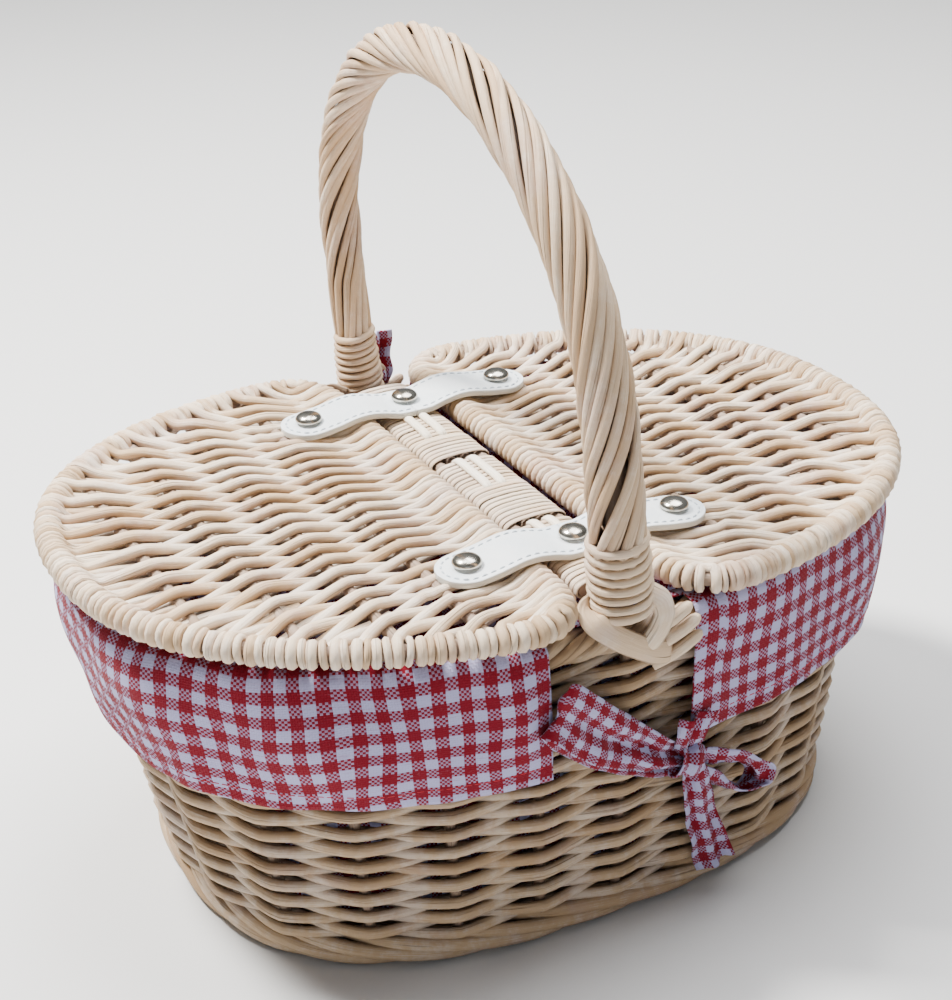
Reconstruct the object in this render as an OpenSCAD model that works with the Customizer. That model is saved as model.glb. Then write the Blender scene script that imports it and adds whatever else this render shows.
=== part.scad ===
// Oval wicker picnic basket with two hinged lids, a roped handle and a gingham lining.
// Millimetres. X runs from the left lid to the right lid, Y to the rear, Z up from the floor.

/* [Basket] */
// Half the length of the wall's centre line at the rim
rim_half_length = 150; // [130:1:160]
// Half the width of the wall's centre line at the rim
rim_half_width = 102; // [90:1:108]
// Squareness of the rim oval, 2 is an ellipse
rim_squareness = 2.25; // [2:0.05:3]
// Half the length of the wall's centre line at the foot
foot_half_length = 124; // [110:1:150]
// Half the width of the wall's centre line at the foot
foot_half_width = 94; // [80:1:102]
// Squareness of the foot oval, 2 is an ellipse
foot_squareness = 2.6; // [2:0.05:3]
// Height of the top of the rim border
rim_height = 127; // [110:1:150]
// Diameter of the willow rods
rod_d = 4; // [3:0.1:5]
// Number of upright stakes round the wall
stake_count = 24; // [20:2:40]

/* [Lids] */
// Half the length over both closed lids
lid_half_length = 163.5; // [155:1:175]
// Half the width of the lids
lid_half_width = 117; // [112:1:125]
// Squareness of the lid oval, 2 is an ellipse
lid_squareness = 2.28; // [2:0.05:3]
// Diameter of the wrapped lid rim
lid_rim_d = 10.4; // [8:0.2:10.4]
// Height of the middle of the closed lids' rims
lid_height = 134.5; // [134.5:0.5:140]
// How far the left lid stands up at rest, on the gathered lining, in degrees
left_lid_rise = 2.2; // [0:0.1:3]
// Distance of the hinge lines from the middle
hinge_x = 13.5; // [13.5:0.1:15]

/* [Handle] */
// Half the distance between the handle's feet
handle_half_span = 102; // [95:1:104]
// Height of the handle's centre line at the top
handle_height = 294; // [260:1:320]
// Diameter of the roped handle
handle_d = 17.2; // [14:0.2:18]
// Diameter of the bow inside the rope twist
bow_d = 9; // [7:0.5:10]
// How far the handle leans towards the left lid, in degrees
handle_lean = 4; // [0:0.1:4]
// How far the handle stands left of the middle
handle_offset = 2.4; // [0:0.1:2.4]
// Diameter of the wrapped collar at the front foot
front_collar_d = 22.6; // [20:0.1:23]
// Diameter of the wrapped collar at the rear foot
rear_collar_d = 21; // [20:0.1:23.6]
// Height of the wrapped collars
collar_height = 27; // [18:1:32]

/* [Bar and straps] */
// Half the width of the bar between the lids
bar_half_width = 12; // [9:0.1:12]
// How far the bar lies left of the middle
bar_offset = 2; // [0:0.1:2]
// Width of the straps
strap_width = 22; // [16:1:26]
// Thickness of the straps
strap_thickness = 2.4; // [1.6:0.1:2.6]
// Half the length of a strap
strap_half_length = 52; // [45:1:60]
// Distance of the straps from the middle of the bar
strap_y = 66; // [55:1:70]
// Distance of the outer rivets from the middle of the bar
rivet_x = 41; // [34:1:44]
// Diameter of the domed rivet heads
rivet_d = 10.4; // [8:0.1:12]

/* [Lining] */
// Thickness of the gathered cloth
cloth_thickness = 1.6; // [1:0.1:2]
// Height of the valance's hem
hem_height = 74; // [60:1:90]
// Half the width of the gaps in the valance at the handle's feet
notch_half_width = 27; // [22:1:35]
// How far those gaps lie left of the middle
notch_offset = 6; // [0:1:8]
// How far the tie bows' knots lie right of the middle
knot_x = 22; // [15:1:30]
// Height of the tie bows' knots
knot_height = 65; // [60:1:75]

/* [Hidden] */

willow = "#dcc6a6";
dark_willow = "#c9b08c";
cane = "#e4cfb0";
gingham = "#c65560";
white_leather = "#eef0f2";
nickel = "#9a958c";

oval_steps = 72;
base_top = 10;
base_thickness = 7;
base_gap = 0.4;
base_stick_d = 5;
base_stick_z = 7;
wall_thickness = 8;
border_height = 12;
border_half_thickness = 6;
foot_border_height = 9;
foot_border_out = 5;
foot_border_in = 4;
foot_border_bulge = 1.4;
stake_foot = 5;
lid_top = lid_height + lid_rim_d / 2;
mat_thickness = 6;
mat_middle = lid_height - 1.2;
mat_top = mat_middle + mat_thickness / 2;
mat_underside = mat_middle - mat_thickness / 2;
bar_rod_r = 2.5;
bar_skin = 0.8;
bar_top = mat_middle + bar_rod_r + bar_skin;
bar_underside = mat_middle - bar_rod_r - bar_skin;
slip_thickness = 0.8;
strap_over_rim = lid_top + 0.1;
strap_over_bar = bar_top + slip_thickness + 0.1;
strap_over_mat = mat_top + 0.1;
hinge_z = strap_over_rim + strap_thickness / 2;
tab_gap = strap_thickness / 2 + 0.4;
lid_edge_gap = 1.4;
corner_cut = 26;
handle_radius = handle_d / 2;
arch_centre_z = handle_height - handle_half_span;
collar_foot = rim_height + 7;
bar_half_length = handle_half_span - front_collar_d / 2 + 1;
rivet_head_height = 2.8;
shank_d = 3;
washer_d = 8;
washer_thickness = 1;
lid_stick_d = 5;
lid_stick_places = [52, 79, 106, 132];
lid_stick_end_gap = 2;

// A point on an oval with half-sizes a and b and squareness n, at the parameter t in degrees
function oval_point(a, b, n, t) =
    [a * sign(cos(t)) * pow(abs(cos(t)), 2 / n), b * sign(sin(t)) * pow(abs(sin(t)), 2 / n)];

// The wall's oval at height z, moved outwards by out, at the parameter t
function wall_point(z, out, t) =
    let (s = z / rim_height,
        a = foot_half_length + s * (rim_half_length - foot_half_length),
        b = foot_half_width + s * (rim_half_width - foot_half_width),
        n = foot_squareness + s * (rim_squareness - foot_squareness),
        p = oval_point(a + out, b + out, n, t))
    [p[0], p[1], z];

function wall_oval(z, out) =
    [for (i = [0:oval_steps - 1]) wall_point(z, out, -360 * i / oval_steps)];

// The wall's oval at the floor, moved outwards by out, as an outline
function flat_oval(out) = [for (p = wall_oval(0, out)) [p[0], p[1]]];

// Half the chord of an oval with half-sizes a along the chord and b across it, at the distance d
function oval_reach(a, b, n, d) = a * pow(1 - pow(abs(d) / b, n), 1 / n);

function unit(v) = v / norm(v);
function bezier(p, q, r, s) = (1 - s) * (1 - s) * p + 2 * s * (1 - s) * q + s * s * r;

// A round section as [out, up] pairs
function round_section(r, count) =
    [for (i = [0:count - 1]) r * [cos(360 * i / count), sin(360 * i / count)]];

// The D-shaped line of a lid, moved inwards by inset. The arc is on the -X side, the straight
// edge beside the bar, and the two corners are rounded.
function lid_line(inset) =
    let (a = lid_half_length - inset,
        b = lid_half_width - inset,
        n = lid_squareness,
        edge = hinge_x + lid_edge_gap + inset,
        corner_y = oval_reach(b, a, n, edge),
        cut = corner_cut,
        t0 = acos(pow((edge + cut) / a, n / 2)),
        arc_steps = 44,
        half = [for (i = [0:arc_steps])
            let (t = 180 - t0 + 2 * t0 * i / arc_steps) oval_point(a, b, n, t)],
        rear = [for (i = [0:4]) bezier([-edge, corner_y - cut], [-edge, corner_y], half[0], i / 5)],
        front = [for (i = [1:5])
            bezier(half[arc_steps], [-edge, -corner_y], [-edge, cut - corner_y], i / 5)],
        straight = [for (i = [1:9]) [-edge, (corner_y - cut) * (i / 5 - 1)]])
    concat(rear, half, front, straight);

// Stacks closed rings of points into one solid. The last ring joins the first where the stack
// is a loop, and otherwise both end rings are capped.
module skin(rings, is_loop) {
    k = len(rings[0]);
    m = len(rings);
    last = is_loop ? m - 1 : m - 2;
    sides = [for (j = [0:last], i = [0:k - 1])
        [j * k + i, j * k + (i + 1) % k, (j + 1) % m * k + (i + 1) % k, (j + 1) % m * k + i]];
    caps = is_loop ? [] : [[for (i = [k - 1:-1:0]) i], [for (i = [0:k - 1]) (m - 1) * k + i]];
    polyhedron([for (ring = rings, p = ring) p], concat(sides, caps), 10);
}

// A solid that follows a closed line in the XY plane with a section of [out, up] pairs
module follow(line, section, z) {
    count = len(line);
    skin([for (i = [count - 1:-1:0])
        let (along = unit(line[(i + 1) % count] - line[(i + count - 1) % count]),
            out = [-along[1], along[0]])
        [for (s = section) [line[i][0] + out[0] * s[0], line[i][1] + out[1] * s[0], z + s[1]]]],
        true);
}

// Upright rod between two points
module rod(from, to, d) {
    v = to - from;
    translate(from)
    rotate([0, acos(v[2] / norm(v)), atan2(v[1], v[0])])
    cylinder(h = norm(v), d = d, $fn = 24);
}

// ---- Basket ----

// Rods both ways across the foot oval, as long as the oval is where they lie
module base_sticks() {
    z = base_stick_z;
    color(dark_willow) {
        for (y = [-62, -31, 0, 31, 62])
        let (reach = oval_reach(foot_half_length, foot_half_width, foot_squareness, y))
        rod([-reach, y, z], [reach, y, z], base_stick_d);
        for (x = [-90, -60, -30, 0, 30, 60, 90])
        let (reach = oval_reach(foot_half_width, foot_half_length, foot_squareness, x))
        rod([x, -reach, z], [x, reach, z], base_stick_d);
    }
}

module base_weave() {
    color(willow)
    translate([0, 0, base_top - base_thickness])
    linear_extrude(base_thickness)
    polygon(flat_oval(-wall_thickness / 2 - base_gap));
}

module foot_layer(z, height, grow) {
    translate([0, 0, z])
    linear_extrude(height)
    difference() {
        polygon(flat_oval(foot_border_out + grow));
        polygon(flat_oval(-foot_border_in));
    }
}

module foot_border() {
    color(willow) {
        foot_layer(0, foot_border_height, 0);
        foot_layer(2, foot_border_height - 4, foot_border_bulge);
    }
}

module side_stakes() {
    color(dark_willow)
    for (i = [0:stake_count - 1])
    let (t = 360 * (i + 0.5) / stake_count)
    rod(wall_point(stake_foot, 0, t), wall_point(rim_height - 3, 0, t), rod_d);
}

module side_weave() {
    r = wall_thickness / 2;
    low = base_top - 1;
    high = rim_height - border_height;
    color(willow)
    skin([wall_oval(low, r), wall_oval(high, r), wall_oval(high, -r), wall_oval(low, -r)], true);
}

module rim_border() {
    high = rim_height;
    low = rim_height - border_height;
    r = border_half_thickness;
    color(willow)
    skin([wall_oval(low, r - 2), wall_oval(low + 3, r), wall_oval(high - 3, r),
        wall_oval(high, r - 3), wall_oval(high, 3 - r), wall_oval(high - 3, -r),
        wall_oval(low + 3, -r), wall_oval(low, 2 - r)], true);
}

// ---- Handle ----

module leaning() {
    translate([-handle_offset, 0, rim_height])
    rotate([0, -handle_lean, 0])
    translate([0, 0, -rim_height])
    children();
}

// Half ring over the basket, with the section drawn by the children
module arch() {
    translate([0, 0, arch_centre_z])
    rotate([90, 0, 90])
    rotate_extrude(angle = 180, $fn = 96)
    translate([handle_half_span, 0])
    children();
}

module handle_bow() {
    foot_z = 45;
    foot_d = 6.4;
    color(dark_willow) {
        leaning() {
            arch() circle(d = bow_d, $fn = 32);
            for (side = [-1, 1])
            translate([0, side * handle_half_span, rim_height])
            cylinder(h = arch_centre_z - rim_height, d = bow_d, $fn = 32);
        }
        for (side = [-1, 1])
        rod([-handle_offset, side * wall_point(foot_z, 0, 90)[1], foot_z],
            [-handle_offset, side * handle_half_span, rim_height + 1], foot_d);
    }
}

module handle_twist() {
    color(willow)
    leaning() {
        arch()
        difference() {
            circle(d = handle_d, $fn = 48);
            circle(d = bow_d, $fn = 32);
        }
        for (side = [-1, 1])
        translate([0, side * handle_half_span, collar_foot + collar_height])
        difference() {
            cylinder(h = arch_centre_z - collar_foot - collar_height, d = handle_d, $fn = 48);
            translate([0, 0, -1])
            cylinder(h = arch_centre_z, d = bow_d, $fn = 32);
        }
    }
}

module collar(side, d) {
    color(cane)
    leaning()
    translate([0, side * handle_half_span, collar_foot])
    difference() {
        cylinder(h = collar_height, d = d, $fn = 48);
        translate([0, 0, -1])
        cylinder(h = collar_height + 2, d = bow_d, $fn = 32);
    }
}

module handle_collar_front() { collar(-1, front_collar_d); }
module handle_collar_rear() { collar(1, rear_collar_d); }

// Two crossed cane bands that hold the handle's foot to the border
module lashing(side) {
    band_width = 9;
    band_length = 44;
    color(cane)
    for (slant = [-32, 32])
    translate([-handle_offset, side * (rim_half_width + border_half_thickness + 0.9),
        rim_height - border_height - 2])
    rotate([0, slant, 0])
    cube([band_length, 1.6, band_width], center = true);
}

module handle_lashing_front() { lashing(-1); }
module handle_lashing_rear() { lashing(1); }

// ---- Bar ----

module bar_rods() {
    color(dark_willow)
    for (x = [-8.7, -2.9, 2.9, 8.7])
    translate([x - bar_offset, 0, mat_middle])
    rotate([90, 0, 0])
    cylinder(h = 2 * bar_half_length, r = bar_rod_r, center = true, $fn = 24);
}

module bar_wrap() {
    r = bar_rod_r + bar_skin;
    color(cane)
    translate([-bar_offset, 0, mat_middle])
    rotate([90, 0, 0])
    linear_extrude(2 * bar_half_length - 6, center = true) {
        square([2 * (bar_half_width - r), 2 * r], center = true);
        for (side = [-1, 1])
        translate([side * (bar_half_width - r), 0]) circle(r, $fn = 32);
    }
}

module bar_slips() {
    slip_width = 3.2;
    slip_length = 30;
    color("#efe2c8")
    for (x = [-3.4, 3.4], y = [-66, -22, 22, 66])
    translate([x - bar_offset, y, bar_top + slip_thickness / 2])
    cube([slip_width, slip_length, slip_thickness], center = true);
}

// ---- Straps and rivets ----

// A strap's length of constant thickness, whose underside follows the [x, z] points
module strap_run(underside, side) {
    top = [for (i = [len(underside) - 1:-1:0]) underside[i] + [0, strap_thickness]];
    translate([0, side * strap_y + strap_width / 2, 0])
    rotate([90, 0, 0])
    linear_extrude(strap_width)
    polygon(concat(underside, top));
}

module strap_centre(side) {
    flat = 7;
    color(white_leather)
    strap_run([[-hinge_x, strap_over_rim], [-flat, strap_over_bar], [flat, strap_over_bar],
        [hinge_x, strap_over_rim]], side);
}

module strap_front_centre() { strap_centre(-1); }
module strap_rear_centre() { strap_centre(1); }

// Domed head with a shank that reaches down through the strap and what is under it
module rivet(x, y, top, shank_foot) {
    head_r = rivet_d / 2;
    dome_r = (head_r * head_r + rivet_head_height * rivet_head_height) / (2 * rivet_head_height);
    translate([x, y, 0]) {
        intersection() {
            translate([0, 0, top + rivet_head_height - dome_r]) sphere(dome_r, $fn = 48);
            translate([0, 0, top]) cylinder(h = rivet_head_height + 1, r = head_r, $fn = 48);
        }
        translate([0, 0, shank_foot]) cylinder(h = top - shank_foot, d = shank_d, $fn = 24);
    }
}

module washer(x, y, z) {
    translate([x, y, z])
    cylinder(h = washer_thickness, d = washer_d, $fn = 32);
}

module bar_rivets() {
    color(nickel)
    for (side = [-1, 1])
    rivet(0, side * strap_y, strap_over_bar + strap_thickness, bar_underside);
}

module bar_rivet_backs() {
    color(nickel)
    for (side = [-1, 1]) washer(0, side * strap_y, bar_underside - washer_thickness);
}

// ---- Lining ----

module liner_bag() {
    wall_gap = wall_thickness / 2 + 0.3;
    foot_z = base_top + 0.3;
    over_rim = rim_height + 0.3;
    border_gap = border_half_thickness + 0.3;
    slit = bow_d + 3;
    t = cloth_thickness;
    color(gingham)
    difference() {
        skin([wall_oval(foot_z, -wall_gap - 1),
            wall_oval(rim_height - border_height - 3, -wall_gap),
            wall_oval(rim_height - border_height, -border_gap),
            wall_oval(rim_height - 3, -border_gap), wall_oval(over_rim, 3 - border_gap),
            wall_oval(over_rim, -0.5), wall_oval(over_rim + t, -0.5),
            wall_oval(over_rim + t, 3 - border_gap - t),
            wall_oval(rim_height - border_height, -border_gap - t),
            wall_oval(foot_z + t, -wall_gap - 1 - t)], false);
        for (side = [-1, 1])
        translate([-handle_offset - slit / 2, side * (handle_half_span - slit / 2), 0])
        translate([0, -slit / 2, rim_height])
        cube(slit);
    }
}

// One half of the valance, folded over the rim and down the outside, between two parameters
module valance(from, to) {
    steps = 40;
    t = cloth_thickness;
    gap = border_half_thickness + 0.8;
    over_rim = rim_height + 0.3;
    section = [[0.2, over_rim], [gap - 3, over_rim], [gap, rim_height - 3], [gap + 2, hem_height],
        [gap + 2 + t, hem_height], [gap + t, rim_height - 2], [gap - 3 + t, over_rim + t],
        [0.2, over_rim + t]];
    color(gingham)
    skin([for (i = [0:steps])
        [for (s = section) wall_point(s[1], s[0], from + (to - from) * i / steps)]], false);
}

function notch_angle(x) = acos(pow(x / rim_half_length, rim_squareness / 2));
left_notch = notch_angle(notch_half_width + notch_offset);
right_notch = notch_angle(notch_half_width - notch_offset);

module valance_left() { valance(180 - left_notch, 180 + left_notch); }
module valance_right() { valance(-right_notch, right_notch); }

// A flat round-ended arm of a bow, from the knot outwards at an angle
module bow_arm(length, width, angle) {
    rotate(angle) {
        translate([0, -width / 2]) square([length - width / 2, width]);
        translate([length - width / 2, 0]) circle(d = width, $fn = 32);
    }
}

// Bow at the foot of a gap in the valance: a knot, a large and a small loop, and a tail
module tie(side) {
    thickness = 3;
    lean_out = 7;
    clear_of_wall = 9;
    color(gingham)
    translate([knot_x, side * (wall_point(knot_height, clear_of_wall, 90)[1]), knot_height])
    rotate([90 - side * lean_out, 0, 0])
    linear_extrude(thickness, center = true) {
        circle(8, $fn = 32);
        bow_arm(70, 24, 139);
        bow_arm(41, 14, -33);
        bow_arm(54, 11, -75);
    }
}

module tie_front() { tie(-1); }
module tie_rear() { tie(1); }

// ---- Lids ----

// Turns a left lid part into place: the left lid is lifted by its rise, the right is its mirror
module as_lid(is_left) {
    rise = is_left ? left_lid_rise : 0;
    mirror([is_left ? 0 : 1, 0, 0])
    translate([-hinge_x, 0, hinge_z])
    rotate([0, rise, 0])
    translate([hinge_x, 0, -hinge_z])
    children();
}

module lid_hoop(is_left) {
    color(dark_willow)
    as_lid(is_left)
    follow(lid_line(lid_rim_d / 2), round_section(3, 8), lid_height);
}

module lid_sticks(is_left) {
    color(dark_willow)
    as_lid(is_left)
    for (x = lid_stick_places)
    let (a = lid_half_length - lid_rim_d / 2,
        b = lid_half_width - lid_rim_d / 2,
        reach = oval_reach(b, a, lid_squareness, x) - lid_stick_end_gap)
    rod([-x, -reach, mat_middle], [-x, reach, mat_middle], lid_stick_d);
}

module lid_weave(is_left) {
    color(willow)
    as_lid(is_left) {
        translate([0, 0, mat_underside])
        linear_extrude(mat_thickness)
        polygon(lid_line(lid_rim_d / 2));
        follow(lid_line(lid_rim_d / 2), round_section(lid_rim_d / 2, 10), lid_height);
    }
}

// Outline of a strap's end beyond the hinge, with its round tip
module strap_outline() {
    r = strap_width / 2;
    translate([r - strap_half_length, 0]) circle(r, $fn = 48);
    translate([r - strap_half_length, -r])
    square([strap_half_length - r - hinge_x - tab_gap, strap_width]);
}

module strap_end(is_left, side) {
    hump_end = -24;
    mat_start = -33;
    color(white_leather)
    as_lid(is_left)
    intersection() {
        strap_run([[-strap_half_length, strap_over_mat], [mat_start, strap_over_mat],
            [hump_end, strap_over_rim], [-hinge_x - tab_gap, strap_over_rim]], side);
        translate([0, side * strap_y, mat_middle])
        linear_extrude(20)
        strap_outline();
    }
}

module lid_rivets(is_left) {
    color(nickel)
    as_lid(is_left)
    for (side = [-1, 1])
    rivet(-rivet_x, side * strap_y, strap_over_mat + strap_thickness, mat_underside);
}

module lid_rivet_backs(is_left) {
    color(nickel)
    as_lid(is_left)
    for (side = [-1, 1]) washer(-rivet_x, side * strap_y, mat_underside - washer_thickness);
}

base_sticks();
base_weave();
foot_border();
side_stakes();
side_weave();
rim_border();
handle_bow();
handle_twist();
handle_collar_front();
handle_collar_rear();
handle_lashing_front();
handle_lashing_rear();
bar_rods();
bar_wrap();
bar_slips();
strap_front_centre();
strap_rear_centre();
bar_rivets();
bar_rivet_backs();
liner_bag();
valance_left();
valance_right();
tie_front();
tie_rear();
lid_hoop(true);  // lid_left_hoop
lid_sticks(true);  // lid_left_sticks
lid_weave(true);  // lid_left_weave
strap_end(true, -1);  // strap_front_left_end
strap_end(true, 1);  // strap_rear_left_end
lid_rivets(true);  // lid_left_rivets
lid_rivet_backs(true);  // lid_left_rivet_backs
lid_hoop(false);  // lid_right_hoop
lid_sticks(false);  // lid_right_sticks
lid_weave(false);  // lid_right_weave
strap_end(false, -1);  // strap_front_right_end
strap_end(false, 1);  // strap_rear_right_end
lid_rivets(false);  // lid_right_rivets
lid_rivet_backs(false);  // lid_right_rivet_backs
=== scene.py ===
import math
import random
import bpy
import bmesh
import numpy as np
from mathutils import Matrix, Vector, noise


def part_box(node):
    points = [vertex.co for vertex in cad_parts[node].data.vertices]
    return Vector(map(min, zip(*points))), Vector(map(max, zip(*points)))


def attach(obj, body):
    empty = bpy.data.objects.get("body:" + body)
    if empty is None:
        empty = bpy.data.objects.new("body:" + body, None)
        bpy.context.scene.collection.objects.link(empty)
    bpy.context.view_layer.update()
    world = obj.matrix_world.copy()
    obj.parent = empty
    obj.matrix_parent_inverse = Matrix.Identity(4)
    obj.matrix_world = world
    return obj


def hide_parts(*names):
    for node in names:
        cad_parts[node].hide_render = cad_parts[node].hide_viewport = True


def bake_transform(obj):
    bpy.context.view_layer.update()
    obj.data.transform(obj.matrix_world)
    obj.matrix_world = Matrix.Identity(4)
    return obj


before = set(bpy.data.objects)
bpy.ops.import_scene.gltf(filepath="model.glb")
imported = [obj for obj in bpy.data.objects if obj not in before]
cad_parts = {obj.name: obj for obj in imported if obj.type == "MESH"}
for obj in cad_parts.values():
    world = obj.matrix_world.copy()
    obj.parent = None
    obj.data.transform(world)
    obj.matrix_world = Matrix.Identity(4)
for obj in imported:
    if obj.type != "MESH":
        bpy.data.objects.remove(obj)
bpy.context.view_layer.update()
mm = 0.001
dice = random.Random(7)
print("frame loaded")

cameraView = {"azimuth": -28.19, "elevation": 27.68, "roll": -1.11, "distance": 738.96,
              "target": (11.11, -2.57, 115.63), "lens": 70.844, "shiftX": -0.03781, "shiftY": 0.01734}


def addCamera():
    view = cameraView
    az, el, roll = (math.radians(view[k]) for k in ("azimuth", "elevation", "roll"))
    back = Vector((math.sin(az) * math.cos(el), -math.cos(az) * math.cos(el), math.sin(el)))
    side = Vector((math.cos(az), math.sin(az), 0))
    up = back.cross(side)
    right = side * math.cos(roll) + up * math.sin(roll)
    top = up * math.cos(roll) - side * math.sin(roll)
    data = bpy.data.cameras.new("camera")
    camera = bpy.data.objects.new("camera", data)
    bpy.context.collection.objects.link(camera)
    place = Vector(view["target"]) * mm + back * view["distance"] * mm
    camera.matrix_world = Matrix([[right[i], top[i], back[i], place[i]] for i in range(3)] + [[0, 0, 0, 1]])
    data.lens, data.shift_x, data.shift_y = view["lens"], view["shiftX"], view["shiftY"]
    data.clip_start = 0.01
    bpy.context.scene.camera = camera


studio = {"floorSize": 16, "floorColour": (0.66, 0.66, 0.66, 1), "worldColour": (0.93, 0.96, 1, 1),
          "worldStrength": 0.24}
lamps = {"key": {"place": (-0.55, 0.5, 1.45), "size": 0.28, "power": 88, "colour": (1, 0.98, 0.94)},
         "fill": {"place": (-0.6, -1.7, 0.6), "size": 1.2, "power": 2.5, "colour": (0.88, 0.93, 1)},
         "top": {"place": (0.35, 0.2, 1.6), "size": 1.0, "power": 48, "colour": (1, 1, 1)}}


def addStage():
    bpy.ops.object.select_all(action="DESELECT")
    bpy.ops.mesh.primitive_plane_add(size=studio["floorSize"], location=(0, 0, 0))
    floor = bpy.context.object
    floor.name = "floor"
    paper = bpy.data.materials.new("floorPaper")
    paper.use_nodes = True
    shader = paper.node_tree.nodes["Principled BSDF"]
    shader.inputs["Base Color"].default_value = studio["floorColour"]
    shader.inputs["Roughness"].default_value = 0.9
    floor.data.materials.append(paper)
    world = bpy.data.worlds.new("studio")
    world.use_nodes = True
    sky = world.node_tree.nodes["Background"]
    sky.inputs[0].default_value = studio["worldColour"]
    sky.inputs[1].default_value = studio["worldStrength"]
    bpy.context.scene.world = world
    for name, lamp in lamps.items():
        data = bpy.data.lights.new(name, "AREA")
        data.energy, data.size, data.color = lamp["power"], lamp["size"], lamp["colour"]
        light = bpy.data.objects.new(name, data)
        bpy.context.collection.objects.link(light)
        light.location = lamp["place"]
        aim = Vector((0, 0, 0.12)) - light.location
        light.rotation_euler = aim.to_track_quat("-Z", "Y").to_euler()


class Wire:
    # a socket that can be used in Python sums
    def __init__(self, sheet, socket):
        self.sheet, self.socket = sheet, socket

    def sum(self, operation, *others):
        values = {i: value for i, value in enumerate((self, *others))}
        return self.sheet.add("ShaderNodeMath", {"operation": operation}, values)

    def __add__(self, other):
        return self.sum("ADD", other)

    def __mul__(self, other):
        return self.sum("MULTIPLY", other)

    def __sub__(self, other):
        return self.sum("SUBTRACT", other)

    def __truediv__(self, other):
        return self.sum("DIVIDE", other)

    def __rsub__(self, other):
        return self * -1 + other

    __radd__ = __add__
    __rmul__ = __mul__

    def floor(self):
        return self.sum("FLOOR")

    def wrap(self, top):
        return self.sum("WRAP", top, 0)

    def above(self, edge):
        return self.sum("GREATER_THAN", edge)

    def ramp(self, low, high):
        return self.sheet.add("ShaderNodeMapRange", {"interpolation_type": "SMOOTHSTEP"},
                              {0: self, 1: low, 2: high})


class Finish:
    # one material and its nodes
    def __init__(self, name):
        self.material = bpy.data.materials.new(name)
        self.material.use_nodes = True
        self.tree = self.material.node_tree
        self.shader = self.tree.nodes["Principled BSDF"]

    def add(self, kind, settings, inputs, output=0):
        node = self.tree.nodes.new(kind)
        for key, value in settings.items():
            setattr(node, key, value)
        for key, value in inputs.items():
            self.put(node.inputs[key], value)
        return Wire(self, node.outputs[output])

    def put(self, socket, value):
        if isinstance(value, Wire):
            self.tree.links.new(value.socket, socket)
        else:
            socket.default_value = value

    def set(self, **values):
        for key, value in values.items():
            self.put(self.shader.inputs[key.replace("_", " ")], value)

    def mix(self, share, one, two):
        return self.add("ShaderNodeMix", {"data_type": "RGBA"}, {0: share, 6: one, 7: two}, 2)

    def noise(self, where, scale, detail=3, roughness=0.55):
        return self.add("ShaderNodeTexNoise", {}, {
            "Vector": where, "Scale": scale, "Detail": detail, "Roughness": roughness})

    def coordinates(self):
        return self.add("ShaderNodeTexCoord", {}, {}, 3)

    def stretch(self, where, scale):
        return self.add("ShaderNodeVectorMath", {"operation": "MULTIPLY"}, {0: where, 1: scale})

    def uv(self, scale):
        return self.stretch(self.add("ShaderNodeUVMap", {"uv_map": "rodMap"}, {}), scale)

    def attribute(self, name):
        return self.add("ShaderNodeAttribute", {"attribute_name": name}, {}, 2)

    def bump(self, height, distance):
        return self.add("ShaderNodeBump", {}, {"Height": height, "Distance": distance, "Strength": 1.0})


grainDepth = 0.45 * mm
# each willow's darkest colour serves for knots and cracks and also for the painted shade; the last entry sets
# how strongly shade is painted on the rods' sides and backs
willowLooks = {
    "lidWillow": {"pale": (0.74, 0.585, 0.425), "tan": (0.54, 0.37, 0.215), "rose": (0.60, 0.425, 0.32),
                  "wash": (0.85, 0.775, 0.69), "pithAndShade": (0.22, 0.14, 0.085), "washShare": 0.6,
                  "paintedCreviceShade": 0.62},
    "handleWillow": {"pale": (0.62, 0.46, 0.31), "tan": (0.52, 0.35, 0.205), "rose": (0.54, 0.38, 0.28),
                     "wash": (0.78, 0.69, 0.59), "pithAndShade": (0.19, 0.115, 0.07), "washShare": 0.5,
                     "paintedCreviceShade": 0.8},
    "sideWillow": {"pale": (0.45, 0.315, 0.19), "tan": (0.37, 0.24, 0.13), "rose": (0.39, 0.265, 0.19),
                   "wash": (0.62, 0.545, 0.47), "pithAndShade": (0.13, 0.08, 0.05), "washShare": 0.5,
                   "paintedCreviceShade": 0.5},
    # the core rods are coloured darker than the other willow, so that where they show between rods they read
    # as painted shade
    "coreWillow": {"pale": (0.30, 0.21, 0.145), "tan": (0.24, 0.16, 0.105), "rose": (0.26, 0.175, 0.14),
                   "wash": (0.46, 0.40, 0.35), "pithAndShade": (0.11, 0.07, 0.05), "washShare": 0.3,
                   "paintedCreviceShade": 0.3},
    "splitCane": {"pale": (0.72, 0.56, 0.40), "tan": (0.62, 0.445, 0.285), "rose": (0.63, 0.475, 0.38),
                  "wash": (0.84, 0.77, 0.67), "pithAndShade": (0.22, 0.14, 0.085), "washShare": 0.5,
                  "paintedCreviceShade": 0.8},
    "creamSlip": {"pale": (0.90, 0.79, 0.62), "tan": (0.84, 0.71, 0.53), "rose": (0.85, 0.73, 0.60),
                  "wash": (0.95, 0.89, 0.78), "pithAndShade": (0.45, 0.33, 0.22), "washShare": 0.7,
                  "paintedCreviceShade": 0.4}}


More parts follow.
